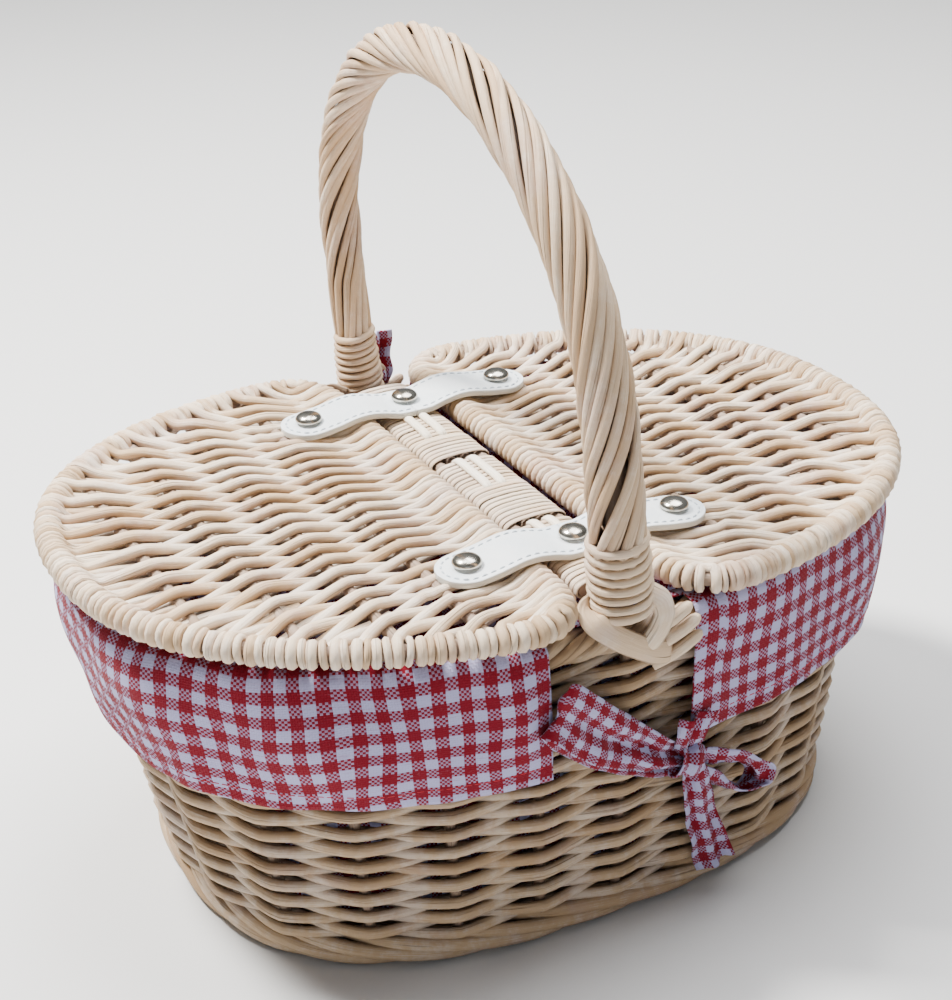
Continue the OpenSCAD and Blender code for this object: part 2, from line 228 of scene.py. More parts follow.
def willowFinish(name):
    look = willowLooks[name]
    skin = Finish(name)
    pale, tan, rose, washed, pithAndShade = (look[k] + (1,) for k in ("pale", "tan", "rose", "wash", "pithAndShade"))
    tone, low = skin.attribute("rodTone"), skin.attribute("rodDepth")
    streaks = skin.noise(skin.uv((0.9, 16, 1)), 1.0, 4, 0.6)
    fine = skin.noise(skin.uv((0.35, 44, 1)), 1.0, 3, 0.5)
    place = skin.coordinates()
    patches = skin.noise(place, 42, 3, 0.6)
    blotch = skin.noise(place, 230, 3, 0.65)
    base = skin.mix(tone.ramp(0.2, 1.05), pale, tan)
    base = skin.mix(patches.ramp(0.46, 0.66) * 0.75, base, rose)
    base = skin.mix(streaks.ramp(0.5, 0.78) * 0.55, base, tan)
    # the white wash lies thickest in the dips between the rods
    wash = (blotch * 0.45 + fine * 0.45 + patches * 0.3 + low * 0.18 - tone * 0.12).ramp(0.5, 0.74)
    base = skin.mix(wash * look["washShare"], base, washed)
    knots = skin.noise(skin.uv((0.16, 1.5, 1)), 1.0, 2, 0.5).ramp(0.69, 0.75)
    base = skin.mix(knots * 0.55, base, pithAndShade)
    # painted shade in the lowest runs, where rods dip under their neighbours, and between the rods on their
    # sides and backs
    base = skin.mix(low.ramp(0.35, 1.5) * 0.5, base, pithAndShade)
    # painted shade on the rods' sides and backs, broken up by noise
    paintedCreviceShade = (skin.attribute("rodAround") + (blotch - 0.5) * 0.5).ramp(0.62, 1.5) * look["paintedCreviceShade"]
    base = skin.mix(paintedCreviceShade, base, pithAndShade)
    cracks = skin.noise(skin.uv((0.12, 13, 1)), 1.3, 2, 0.5).ramp(0.63, 0.70)
    base = skin.mix(cracks * 0.5, base, pithAndShade)
    height = streaks * 0.7 + fine * 0.5 - cracks * 0.8 + blotch * 0.25
    skin.set(Base_Color=base, Roughness=0.66 - wash * 0.1 + streaks * 0.12,
             Normal=skin.bump(height, grainDepth), Specular_IOR_Level=0.4)
    return skin.material


# the white threads are given the dim bluish tone that white cloth has in shade: painted shade
ginghamLook = {"red": (0.18, 0.0, 0.010, 1), "white": (0.40, 0.385, 0.59, 1), "bleed": 0.48,
               "faded": (0.42, 0.26, 0.36, 1), "dark": (0.22, 0.02, 0.05, 1),
               "check": 4.25 * mm, "threads": 5, "wobble": 0.6 * mm, "roughness": 0.88,
               "weaveDepth": 0.22 * mm}


def ginghamFinish():
    look = ginghamLook
    skin = Finish("redGingham")
    flat = skin.add("ShaderNodeUVMap", {"uv_map": "clothMap"}, {})
    place = skin.coordinates()
    wobble = skin.noise(place, 160, 2, 0.5)
    apart = skin.add("ShaderNodeSeparateXYZ", {}, {0: flat})
    across = apart + (wobble - 0.5) * look["wobble"]
    down = Wire(skin, apart.socket.node.outputs[1]) + (wobble - 0.5) * look["wobble"]
    thread = look["check"] / look["threads"]
    warpRed = across.wrap(look["check"] * 2).above(look["check"])
    weftRed = down.wrap(look["check"] * 2).above(look["check"])
    row, column = (across / thread), (down / thread)
    over = (row.floor() + column.floor()).wrap(2).above(0.5)
    red = warpRed * over + weftRed * (1 - over)
    # red threads show a little through the white ones they cross
    red = red + (1 - red) * (warpRed + weftRed) * look["bleed"]
    soft = skin.noise(place, 900, 2, 0.5)
    slub = skin.noise(skin.stretch(flat, (90, 1900, 1)), 1.0, 2, 0.5)
    colour = skin.mix(red, look["white"], look["red"])
    colour = skin.mix(soft.ramp(0.6, 0.95) * 0.2, colour, look["faded"])
    colour = skin.mix(slub.ramp(0.55, 0.8) * 0.3, colour, look["dark"])
    rows = (row.wrap(1) - 0.5).sum("ABSOLUTE")
    columns = (column.wrap(1) - 0.5).sum("ABSOLUTE")
    weave = over * (0.5 - rows) + (1 - over) * (0.5 - columns)
    skin.set(Base_Color=colour, Roughness=look["roughness"], Sheen_Weight=0.06,
             Sheen_Roughness=0.5, Specular_IOR_Level=0.2,
             Normal=skin.bump(weave + soft * 0.3 + slub * 0.3, look["weaveDepth"]))
    return skin.material


strapLook = {"white": (0.86, 0.89, 0.91, 1), "edge": (0.60, 0.60, 0.56, 1),
             "shade": (0.74, 0.80, 0.84, 1), "poreDepth": 0.06 * mm}


def strapFinish():
    skin = Finish("whiteLeather")
    place = skin.coordinates()
    cloud = skin.noise(place, 60, 3, 0.5)
    pores = skin.add("ShaderNodeTexVoronoi", {"feature": "DISTANCE_TO_EDGE"},
                     {"Vector": place, "Scale": 1500.0})
    colour = skin.mix(cloud.ramp(0.35, 0.75), strapLook["white"], strapLook["shade"])
    scuffs = skin.noise(place, 420, 3, 0.7).ramp(0.62, 0.8)
    colour = skin.mix(scuffs * 0.25, colour, strapLook["edge"])
    colour = skin.mix(skin.attribute("strapEdge"), colour, strapLook["edge"])
    skin.set(Base_Color=colour, Roughness=0.34 + cloud * 0.14, Coat_Weight=0.15,
             Normal=skin.bump(pores.ramp(0, 0.12), strapLook["poreDepth"]))
    return skin.material


threadLook = {"dark": (0.46, 0.52, 0.58, 1), "light": (0.62, 0.68, 0.73, 1), "twistDepth": 0.1 * mm}
redThreadLook = {"dark": (0.42, 0.01, 0.02, 1), "light": (0.6, 0.03, 0.05, 1)}


def whiteThreadFinish():
    skin = Finish("whiteThread")
    twist = skin.noise(skin.coordinates(), 1800, 2, 0.5)
    skin.set(Base_Color=skin.mix(twist, threadLook["dark"], threadLook["light"]), Roughness=0.7,
             Normal=skin.bump(twist, threadLook["twistDepth"]))
    return skin.material


def redThreadFinish():
    skin = Finish("redThread")
    twist = skin.noise(skin.coordinates(), 800)
    skin.set(Base_Color=skin.mix(twist, redThreadLook["dark"], redThreadLook["light"]), Roughness=0.8)
    return skin.material


nickelLook = {"bright": (0.56, 0.53, 0.47, 1), "tarnish": (0.26, 0.23, 0.18, 1),
              "scratchDepth": 0.02 * mm}


def nickelFinish():
    skin = Finish("antiqueNickel")
    place = skin.coordinates()
    tarnish = skin.noise(place, 300, 4, 0.6)
    scratches = skin.noise(skin.stretch(place, (4000, 500, 2000)), 1.0, 2, 0.6)
    colour = skin.mix(tarnish.ramp(0.4, 0.75), nickelLook["bright"], nickelLook["tarnish"])
    skin.set(Base_Color=colour, Metallic=1.0, Roughness=0.12 + tarnish * 0.18,
             Normal=skin.bump(scratches, nickelLook["scratchDepth"]))
    return skin.material


def unitRows(v):
    return v / np.maximum(np.linalg.norm(v, axis=-1, keepdims=True), 1e-12)


def distances(line):
    # how far along a line each of its points is
    return np.concatenate([[0], np.cumsum(np.linalg.norm(np.diff(line, axis=0), axis=1))])


def soften(line, times):
    # rounds a line's corners and leaves its ends
    for _ in range(times):
        line[1:-1] = (line[:-2] + 2 * line[1:-1] + line[2:]) / 4


def noiseAt(places):
    # smooth noise between about -1 and 1 at each place
    return np.array([noise.noise(Vector(place)) for place in places])


def rodAlong(points, wide, up=(0, 0, 1), thick=None, closed=False, tone=None, depth=None):
    # a rod with a round or flattened section; wide and thick are half sizes, up faces outwards
    points = np.asarray(points, float)
    count = len(points)
    wide = np.broadcast_to(np.asarray(wide, float), (count,))
    thick = wide if thick is None else np.broadcast_to(np.asarray(thick, float), (count,))
    ahead = np.roll(points, -1, 0) - np.roll(points, 1, 0)
    if not closed:
        ahead[0], ahead[-1] = points[1] - points[0], points[-1] - points[-2]
    ahead = unitRows(ahead)
    side = unitRows(np.cross(ahead, np.broadcast_to(np.asarray(up, float), (count, 3))))
    top = np.cross(side, ahead)
    return {"points": points, "side": side, "top": top, "wide": wide, "thick": thick,
            "closed": closed, "tone": dice.random() if tone is None else tone,
            "depth": np.zeros(count) if depth is None else np.asarray(depth, float)}


def rodMesh(name, rods, corners=8, material=None):
    angle = np.arange(corners) * 2 * np.pi / corners
    verts, quads, maps, tones, depths, caps, capMaps = [], [], [], [], [], [], []
    start = 0
    for rod in rods:
        points = rod["points"]
        count = len(points)
        ring = (points[:, None] + rod["side"][:, None] * (rod["wide"][:, None] * np.cos(angle))[..., None]
                + rod["top"][:, None] * (rod["thick"][:, None] * np.sin(angle))[..., None])
        verts.append(ring.reshape(-1, 3))
        tones.append(np.full(count * corners, rod["tone"]))
        depths.append(np.repeat(rod["depth"], corners))
        steps = count if rod["closed"] else count - 1
        i, j = np.meshgrid(np.arange(steps), np.arange(corners), indexing="ij")
        i, j = i.ravel(), j.ravel()
        n, k = (i + 1) % count, (j + 1) % corners
        quads.append(start + np.stack([i * corners + j, n * corners + j, n * corners + k,
                                       i * corners + k], 1))
        gone = np.linalg.norm(np.diff(points, axis=0, append=points[:1]), axis=1)
        length = np.concatenate([[0], np.cumsum(gone)]) / 0.01 + rod["tone"] * 731.0
        u0, u1 = length[i], length[i + 1]
        shift = rod["tone"] * 57.0
        v0, v1 = j / corners + shift, (j + 1) / corners + shift
        maps.append(np.stack([np.stack([u0, v0], 1), np.stack([u1, v0], 1),
                              np.stack([u1, v1], 1), np.stack([u0, v1], 1)], 1))
        if not rod["closed"]:
            caps.append(start + np.arange(corners))
            caps.append(start + (count - 1) * corners + np.arange(corners)[::-1])
            capMaps.append(np.full((2 * corners, 2), length[0]))
        start += count * corners
    verts = np.concatenate(verts)
    quads = np.concatenate(quads)
    mesh = bpy.data.meshes.new(name)
    loops = np.concatenate([quads.ravel()] + caps)
    sizes = np.concatenate([np.full(len(quads), 4), np.full(len(caps), corners)]).astype(np.int32)
    begins = np.concatenate([[0], np.cumsum(sizes)[:-1]]).astype(np.int32)
    mesh.vertices.add(len(verts))
    mesh.vertices.foreach_set("co", verts.ravel())
    mesh.loops.add(len(loops))
    mesh.loops.foreach_set("vertex_index", loops.astype(np.int32))
    mesh.polygons.add(len(sizes))
    mesh.polygons.foreach_set("loop_start", begins)
    mesh.polygons.foreach_set("use_smooth", np.concatenate([np.ones(len(quads), bool),
                                                          np.zeros(len(caps), bool)]))
    mesh.update(calc_edges=True)
    layer = mesh.uv_layers.new(name="rodMap")
    flat = np.concatenate([np.concatenate(maps).reshape(-1, 2)] + capMaps)
    layer.data.foreach_set("uv", flat.astype(np.float32).ravel())
    # 0 on a rod's outer line, 1 where it meets its neighbours, 2 at its back; the willow finish paints shade
    # by it
    around = [np.tile(1 - np.sin(angle), len(rod["points"])) for rod in rods]
    for key, value in (("rodTone", tones), ("rodDepth", depths), ("rodAround", around)):
        data = mesh.attributes.new(key, "FLOAT", "POINT")
        data.data.foreach_set("value", np.concatenate(value).astype(np.float32))
    mesh.validate()
    piece = bpy.data.objects.new(name, mesh)
    bpy.context.collection.objects.link(piece)
    if material:
        mesh.materials.append(material)
    return piece


def settle(piece, body, slot, *nodes):
    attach(piece, body)
    if nodes:
        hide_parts(*nodes)
    return piece


# the basket's own lines, taken from the frame
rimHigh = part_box("rim_border")[1]
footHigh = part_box("foot_border")[1]
rimInset, footInset = 6 * mm, 6.4 * mm
basketLines = {"rimHalfLength": rimHigh.x - rimInset, "rimHalfWidth": rimHigh.y - rimInset,
               "rimSquareness": 2.25, "footHalfLength": footHigh.x - footInset,
               "footHalfWidth": footHigh.y - footInset, "footSquareness": 2.6,
               "rimHeight": rimHigh.z, "stakes": 24}


def ovalLine(z, out, turns, lines=basketLines):
    # points on the wall's oval at height z, turns counts stakes from the +X end, evenly spaced
    rise = np.clip(np.mean(z) / lines["rimHeight"], 0, 1.1)
    halfLength = lines["footHalfLength"] + rise * (lines["rimHalfLength"] - lines["footHalfLength"])
    halfWidth = lines["footHalfWidth"] + rise * (lines["rimHalfWidth"] - lines["footHalfWidth"])
    squareness = lines["footSquareness"] + rise * (lines["rimSquareness"] - lines["footSquareness"])
    angle = np.linspace(0, 2 * np.pi, 1441)
    cos, sin = np.cos(angle), np.sin(angle)
    base = np.stack([halfLength * np.sign(cos) * np.abs(cos) ** (2 / squareness),
                     halfWidth * np.sign(sin) * np.abs(sin) ** (2 / squareness)], 1)
    run = distances(base)
    at = (np.asarray(turns, float) / lines["stakes"] % 1) * run[-1]
    x, y = np.interp(at, run, base[:, 0]), np.interp(at, run, base[:, 1])
    step = run[-1] / 720
    after, before = (at + step) % run[-1], (at - step) % run[-1]
    dx, dy = (np.interp(after, run, base[:, k]) - np.interp(before, run, base[:, k]) for k in (0, 1))
    normal = unitRows(np.stack([dy, -dx], 1))
    spot = np.stack([x, y], 1) + normal * np.broadcast_to(out, (len(at),))[:, None]
    return (np.column_stack([spot, np.broadcast_to(z, (len(at),))]),
            np.column_stack([normal, np.zeros(len(at))]))


sideWeave = {"rodRadius": 2.12 * mm, "pitch": 3.72 * mm, "low": 11.5 * mm, "high": 114.5 * mm,
             "swing": 3.5 * mm, "drift": 1.3 * mm, "samplesPerStake": 8, "stakeRadius": 2.1 * mm,
             "stakeFoot": 5, "stakeTop": 124}


def tent(phase):
    # a wave with rather sharp crests, 1 at phase 0 and -1 at phase 1
    sharp = 0.975
    return np.arcsin(sharp * np.cos(np.pi * phase)) / math.asin(sharp)


def makeSide(willow, core):
    weave = sideWeave
    stakes = basketLines["stakes"]
    rods = []
    for i in range(stakes):
        line = [ovalLine(z, 0, [i])[0][0] for z in np.linspace(weave["stakeFoot"], weave["stakeTop"], 9) * mm]
        rods.append(rodAlong(line, weave["stakeRadius"], (0.3, 0.2, 0)))
    settle(rodMesh("stakes", rods, 8, core), "basket", "willow", "side_stakes")
    rows = int((weave["high"] - weave["low"]) / weave["pitch"]) + 1
    count = stakes * weave["samplesPerStake"]
    rods = []
    for row in range(rows):
        turn = np.arange(count) / weave["samplesPerStake"]
        around = turn * math.tau / stakes
        drift = noiseAt((math.cos(a) * 1.7, math.sin(a) * 1.7, row * 3.1) for a in around)
        z = weave["low"] + row * weave["pitch"] + drift * weave["drift"]
        swing = tent(turn + row) * weave["swing"] * (0.92 + 0.16 * dice.random())
        place, normal = ovalLine(weave["low"] + row * weave["pitch"], swing + drift * 0.3 * mm, turn)
        place[:, 2] = z
        radius = weave["rodRadius"] * (0.92 + 0.18 * dice.random()) * (1 + 0.14 * drift)
        # depth: how far inside the stakes the rod passes; the willow finish paints shade there and thickens
        # the wash
        depth = np.clip(0.6 - swing / weave["swing"], 0, 1)
        rods.append(rodAlong(place, radius * 1.04, normal, radius * 0.93, True, depth=depth))
    settle(rodMesh("sideWeave", rods, 8, willow), "basket", "willow", "side_weave")
    print("side woven,", rows, "rows")


footBorder = {"radius": 2.75 * mm, "turns": (-0.45, 0.0, 0.6, 1.2, 1.8, 2.3, 2.75),
              "out": (-2.5, 1.2, 3.4, 3.8, 3.2, 0.4, -3.2),
              "height": (10.2, 9.4, 7.6, 5.4, 3.6, 2.9, 3.0)}


def makeFootBorder(willow):
    # each rod comes from inside, lies across two stakes and tucks in under the next rods
    border = footBorder
    rods = []
    for i in range(basketLines["stakes"]):
        share = np.linspace(0, len(border["turns"]) - 1, 31)
        at = np.arange(len(border["turns"]))
        turn, out, z = (np.interp(share, at, border[k]) for k in ("turns", "out", "height"))
        soften(out, 5)
        soften(z, 5)
        place, normal = ovalLine(5 * mm, out * mm, turn + i + 0.1 * dice.random())
        place[:, 2] = z * mm
        radius = border["radius"] * (0.93 + 0.12 * dice.random())
        wide = radius * np.interp(share, [0, 2, at[-1]], [0.8, 1.04, 1])
        rods.append(rodAlong(place, wide, normal, radius * 0.92))
    settle(rodMesh("footBorder", rods, 10, willow), "basket", "willow", "foot_border")


rimRope = {"centre": 120.6 * mm, "strands": 4, "radius": 2.6 * mm, "spread": 3.4 * mm, "turns": 17,
           "samplesPerTurn": 26}


def makeRimBorder(willow):
    # rods twisted round each other along the wall's oval
    rope = rimRope
    count = rope["samplesPerTurn"] * rope["turns"]
    turn = np.arange(count) / count * basketLines["stakes"]
    place, normal = ovalLine(rope["centre"], 0, turn)
    up = np.array([0, 0, 1.0])
    rods = []
    for k in range(rope["strands"]):
        angle = turn / basketLines["stakes"] * rope["turns"] * math.tau + k * math.tau / rope["strands"]
        out = normal * np.cos(angle)[:, None] + up * np.sin(angle)[:, None]
        rods.append(rodAlong(place + out * rope["spread"], rope["radius"] * (0.95 + 0.1 * dice.random()),
                             out, rope["radius"] * 0.9, True))
    settle(rodMesh("rimBorder", rods, 8, willow), "basket", "willow", "rim_border")


baseLines = {"stickRadius": 2.3 * mm, "lengthwise": (-62, -31, 0, 31, 62),
             "crosswise": (-90, -60, -30, 0, 30, 60, 90), "halfLength": 122, "halfWidth": 92,
             "squareness": 2.6, "margin": 4, "rings": 21, "firstRing": 5.5, "ringPitch": 4.2,
             "height": 6.6 * mm, "swing": 1.5 * mm, "rodRadius": 2.05 * mm}


def makeBase(willow, core):
    base = baseLines
    length, width, power = base["halfLength"], base["halfWidth"], base["squareness"]
    rods = []
    for y in base["lengthwise"]:
        reach = (length - base["margin"]) * (1 - abs(y / width) ** power) ** (1 / power)
        rods.append(rodAlong([(x * mm, y * mm, 7 * mm) for x in np.linspace(-reach, reach, 9)],
                             base["stickRadius"]))
    for x in base["crosswise"]:
        reach = (width - base["margin"]) * (1 - abs(x / length) ** power) ** (1 / power)
        rods.append(rodAlong([(x * mm, y * mm, base["height"]) for y in np.linspace(-reach, reach, 9)],
                             base["stickRadius"]))
    settle(rodMesh("baseSticks", rods, 8, core), "basket", "willow", "base_sticks")
    rods = []
    turn = np.arange(6 * basketLines["stakes"]) / 6
    for row in range(base["rings"]):
        out = -(base["firstRing"] + row * base["ringPitch"]) * mm
        lines = dict(basketLines)
        lines["footHalfLength"] += out
        lines["footHalfWidth"] += out
        place, normal = ovalLine(0, 0, turn, lines)
        place[:, 2] = base["height"] + np.cos(np.pi * (turn + row)) * base["swing"]
        rods.append(rodAlong(place, base["rodRadius"], normal, 1.9 * mm, True))
    settle(rodMesh("baseWeave", rods, 6, willow), "basket", "willow", "base_weave")
    print("base woven")


handleLines = {"span": 102 * mm, "lean": math.radians(4), "offset": 2.4 * mm, "spring": 192 * mm,
               "rim": 127 * mm, "bowRadius": 4.2 * mm, "rods": 12, "rodRadius": 2.05 * mm,
               "frontRadius": 7.9 * mm, "rearRadius": 6.1 * mm,
               "twistAt": (0, 0.12, 0.3, 0.75, 0.9, 1), "twistTurns": (0, 0.16, 0.78, 2.45, 3.0, 3.35)}


def leaning(points):
    handle = handleLines
    points = np.asarray(points, float)
    x, z = points[:, 0], points[:, 2] - handle["rim"]
    return np.column_stack([x * math.cos(handle["lean"]) - z * math.sin(handle["lean"]) - handle["offset"],
                            points[:, 1],
                            handle["rim"] + z * math.cos(handle["lean"]) + x * math.sin(handle["lean"])])


def archLine(share):
    # the handle's centre line from the rear rim (0) over the top to the front rim (1)
    handle = handleLines
    leg = handle["spring"] - handle["rim"]
    total = 2 * leg + math.pi * handle["span"]
    gone = np.asarray(share) * total
    angle = np.clip((gone - leg) / handle["span"], 0, math.pi)
    y = handle["span"] * np.cos(angle)
    z = handle["spring"] + handle["span"] * np.sin(angle) - np.clip(leg - gone, 0, leg) - np.clip(
        gone - leg - math.pi * handle["span"], 0, leg)
    return np.column_stack([np.zeros(len(gone)), y, z]), angle


def makeHandle(willow, core):
    handle = handleLines
    share = np.linspace(0.0, 1.0, 70)
    line, _ = archLine(share)
    settle(rodMesh("handleBow", [rodAlong(leaning(line), handle["bowRadius"], (1, 0, 0))], 10, core),
           "basket", "willow", "handle_bow")
    share = np.linspace(0.035, 0.965, 150)
    line, angle = archLine(share)
    inward = np.column_stack([np.zeros(len(share)), np.cos(angle), np.sin(angle)])
    across = np.array([1.0, 0, 0])
    twist = np.interp(share, handle["twistAt"], handle["twistTurns"])
    radius = np.interp(share, [0, 1], [handle["rearRadius"], handle["frontRadius"]])
    thick = np.interp(share, [0, 1], [0.86, 1.06]) * handle["rodRadius"]
    pinch = 1 - 0.08 * np.exp(-((share - 0.05) / 0.04) ** 2) + 0.05 * np.exp(-((share - 0.9) / 0.06) ** 2)
    rods = []
    for k in range(handle["rods"]):
        wander = noiseAt((along * 5, k * 7.7, 0.5) for along in share)
        phase = -twist * math.tau + (k + 0.4 * wander) * math.tau / handle["rods"]
        out = inward * np.cos(phase)[:, None] + across * np.sin(phase)[:, None]
        lift = radius * pinch * (1 + 0.05 * np.roll(wander, 20)) + (k % 3 - 1) * 0.32 * mm
        size = thick * (0.78 + 0.22 * dice.random()) * (1 + 0.14 * np.roll(wander, 50))
        rods.append(rodAlong(leaning(line + out * lift[:, None]), size, out, size * 0.92))
    settle(rodMesh("handleTwist", rods, 8, willow), "basket", "willow", "handle_twist")
    print("handle twisted")


collarLines = {"low": 128.9, "high": 160.6, "halfThick": 1.55, "samplesPerTurn": 26,
               "Front": {"side": -1, "lowRadius": 12.0, "highRadius": 11.1, "turns": 8},
               "Rear": {"side": 1, "lowRadius": 10.4, "highRadius": 8.8, "turns": 9}}


def makeCollars(cane):
    # a flat cane wound round each foot of the handle, from its back upwards
    collar = collarLines
    low, high = collar["low"], collar["high"]
    for name in ("Front", "Rear"):
        one = collar[name]
        turns = one["turns"]
        t = np.arange(turns * collar["samplesPerTurn"] + 1) / collar["samplesPerTurn"]
        angle = t * math.tau
        bulge = noiseAt((math.cos(a * math.tau), math.sin(a * math.tau), a * 0.7) for a in t)
        middle = np.interp(t, [0, turns], [one["lowRadius"], one["highRadius"]]) - 1.9
        out = np.column_stack([-np.sin(angle), np.cos(angle), np.zeros(len(t))])
        spot = out * ((middle + 0.5 * bulge) * mm)[:, None]
        spot += np.array([0, one["side"] * handleLines["span"], 0])
        sway = noiseAt((a * 0.9, turns, 4.0) for a in t)
        climb = (low + 2 + (high - low - 4) * t / turns) * mm
        spot[:, 2] = climb + (0.5 * np.sin(angle + turns) + 0.9 * sway) * mm
        width = (high - low) / turns / 2 * (0.8 + 0.16 * bulge) * mm
        rods = [rodAlong(leaning(spot), width, out, collar["halfThick"] * mm)]
        node = "handle_collar_" + name.lower()
        settle(rodMesh("handleCollar" + name, rods, 8, cane), "basket", "cane", node)


# routes as (x, distance from the middle, height) in mm, sizes as (half width, half thickness),
# rimEnds as (x, height)
lashing = {"knob": ((1, 100, 138), (4, 106.5, 137), (8.2, 109.4, 134.4), (9.0, 110.6, 129.6),
                    (6.6, 110.9, 124.5), (3.2, 110, 119.2), (2, 107.5, 116)),
           "band": ((-11, 97, 133), (-16.5, 102, 134.6), (-16.8, 108, 131.8), (-9.8, 111.6, 126.0),
                    (-3, 111.8, 121.2), (4, 111.4, 116.6), (11.5, 110, 113.4), (16, 105, 112.4)),
           "knobSize": (4.1, 2.6), "bandSize": (4.3, 0.8),
           "rimEnds": ((17.8, 128.6), (21.2, 123.0), (22.2, 116.6)),
           "rimEndReach": (-1, -0.66, -0.33, 0, 0.1, 0.14), "rimEndRadii": (2.0, 2.2, 2.3, 2.2, 1.5, 0.5)}


def makeLashings(cane):
    # a flat band over the border, the bent foot of a handle rod and the border's tucked ends
    reach = np.array(lashing["rimEndReach"])
    for name, side in (("Front", -1), ("Rear", 1)):
        rods = []
        for key in ("knob", "band"):
            halfWidth, halfThick = lashing[key + "Size"]
            route = np.array(lashing[key], float)
            share = np.linspace(0, len(route) - 1, 8 * len(route))
            x, y, z = (np.interp(share, np.arange(len(route)), route[:, k]) for k in range(3))
            for line in (x, y, z):
                soften(line, 10)
            spot = np.column_stack([x * mm, side * y * mm, z * mm])
            swell = np.interp(share / share[-1], [0, 0.2, 0.8, 1], [0.7, 1, 1, 0.7])
            rods.append(rodAlong(spot, halfWidth * swell * mm, (0, side, 0.25), halfThick * mm))
        for x, z in lashing["rimEnds"]:
            spot = np.column_stack([(x + 15 * reach) * mm, side * (109.8 - 3.5 * reach ** 2) * mm,
                                    (z + 9 * reach) * mm])
            rods.append(rodAlong(spot, np.array(lashing["rimEndRadii"]) * mm, (0, side, 0)))
        node = "handle_lashing_" + name.lower()
        settle(rodMesh("handleLashing" + name, rods, 10, cane), "basket", "cane", node)


barLines = {"centre": -0.8 * mm, "middle": 133.3 * mm, "halfWidth": 12.6 * mm, "halfLength": 91 * mm,
            "rods": (-8.7, -2.9, 2.9, 8.7), "rodRadius": 2.4 * mm, "slips": (-3.4, 2.4),
            "slipSegments": ((-68, -43), (-13, 14), (36, 72)), "slipRadius": 1.9 * mm,
            "slipThick": 1.2 * mm, "slipHeight": 3.95 * mm, "stripWidth": 2.9 * mm,
            "stripThick": 0.45 * mm, "stripLift": 3.45 * mm, "liftUnderSlips": 2.75 * mm,
            "gaps": (15.5, -42), "samples": 28}


def makeBar(cane, core, slipCane):
    bar = barLines
    rods = [rodAlong([(bar["centre"] + x * mm, y * mm, bar["middle"]) for y in np.linspace(-90, 90, 9)],
                     bar["rodRadius"]) for x in bar["rods"]]
    settle(rodMesh("barRods", rods, 8, core), "basket", "willow", "bar_rods")
    # cane strips round the rods, lower where the slips lie over them and left out at the gaps
    count = int(2 * bar["halfLength"] / bar["stripWidth"])
    angle = np.linspace(0, math.tau, bar["samples"], endpoint=False)
    cos, sin = np.cos(angle), np.sin(angle)
    above = np.where(sin > 0, 1, 0)
    rods = []
    for i in range(count):
        y = -bar["halfLength"] + (i + 0.5) * bar["stripWidth"]
        if any(abs(y - gap * mm) < bar["stripWidth"] / 2 for gap in bar["gaps"]):
            continue
        covered = any(low * mm - 1 * mm < y < top * mm + 1 * mm for low, top in bar["slipSegments"])
        lift = bar["liftUnderSlips"] if covered else bar["stripLift"]
        slant = (dice.random() - 0.5) * 0.5 * mm
        x = bar["centre"] + np.sign(cos) * np.abs(cos) ** 0.55 * (bar["halfWidth"] - 0.6 * mm)
        z = bar["middle"] + np.sign(sin) * np.abs(sin) ** 0.75 * lift * np.where(sin > 0, 1, 0.9)
        z = z + above * (1 - np.abs(x - bar["centre"]) / bar["halfWidth"]) * 0.35 * mm
        z = z + (dice.random() - 0.5) * 0.25 * mm
        spot = np.column_stack([x, y + slant * cos + (dice.random() - 0.5) * 0.25 * mm, z])
        out = np.column_stack([cos * 0.5, np.zeros(bar["samples"]), sin])
        rods.append(rodAlong(spot, bar["stripWidth"] * (0.46 + 0.04 * dice.random()), out,
                             bar["stripThick"], True, tone=0.75 * dice.random()))
    settle(rodMesh("barWrap", rods, 6, cane), "basket", "cane", "bar_wrap")
    rods = []
    share = np.linspace(0, 1, 15)
    for x in bar["slips"]:
        for low, top in bar["slipSegments"]:
            y = (low + (top - low) * share) * mm
            z = bar["middle"] + bar["slipHeight"] - 1.7 * mm * np.abs(2 * share - 1) ** 8
            drift = dice.random() * 0.6 * mm
            rods.append(rodAlong(np.column_stack([np.full(15, bar["centre"] + x * mm + drift), y, z]),
                                 bar["slipRadius"], (0, 0, 1), bar["slipThick"], tone=0.05))
    settle(rodMesh("barSlips", rods, 8, slipCane), "basket", "cane", "bar_slips")
    print("bar wrapped")


lidLines = {"halfLength": 163.5 * mm, "halfWidth": 117 * mm, "squareness": 2.28, "edge": 14.9 * mm,
            "cornerCut": 26 * mm, "rimRadius": 5.2 * mm, "rimHeight": 134.5 * mm,
            "hoopRadius": 2.6 * mm, "stickRadius": 2.2 * mm, "matHeight": 133.3 * mm,
            "rise": math.radians(2.2), "hinge": (13.5 * mm, 141.0 * mm),
            "sticks": (-52, -79, -106, -132), "rodRadius": 1.7 * mm, "rows": 58, "fan": 0.25,
            "swing": 3.0 * mm, "weaveHeight": 133.7 * mm, "straightEnd": 108 * mm,
            "leftFillers": 1, "rightFillers": 2, "shortRod": 38 * mm}


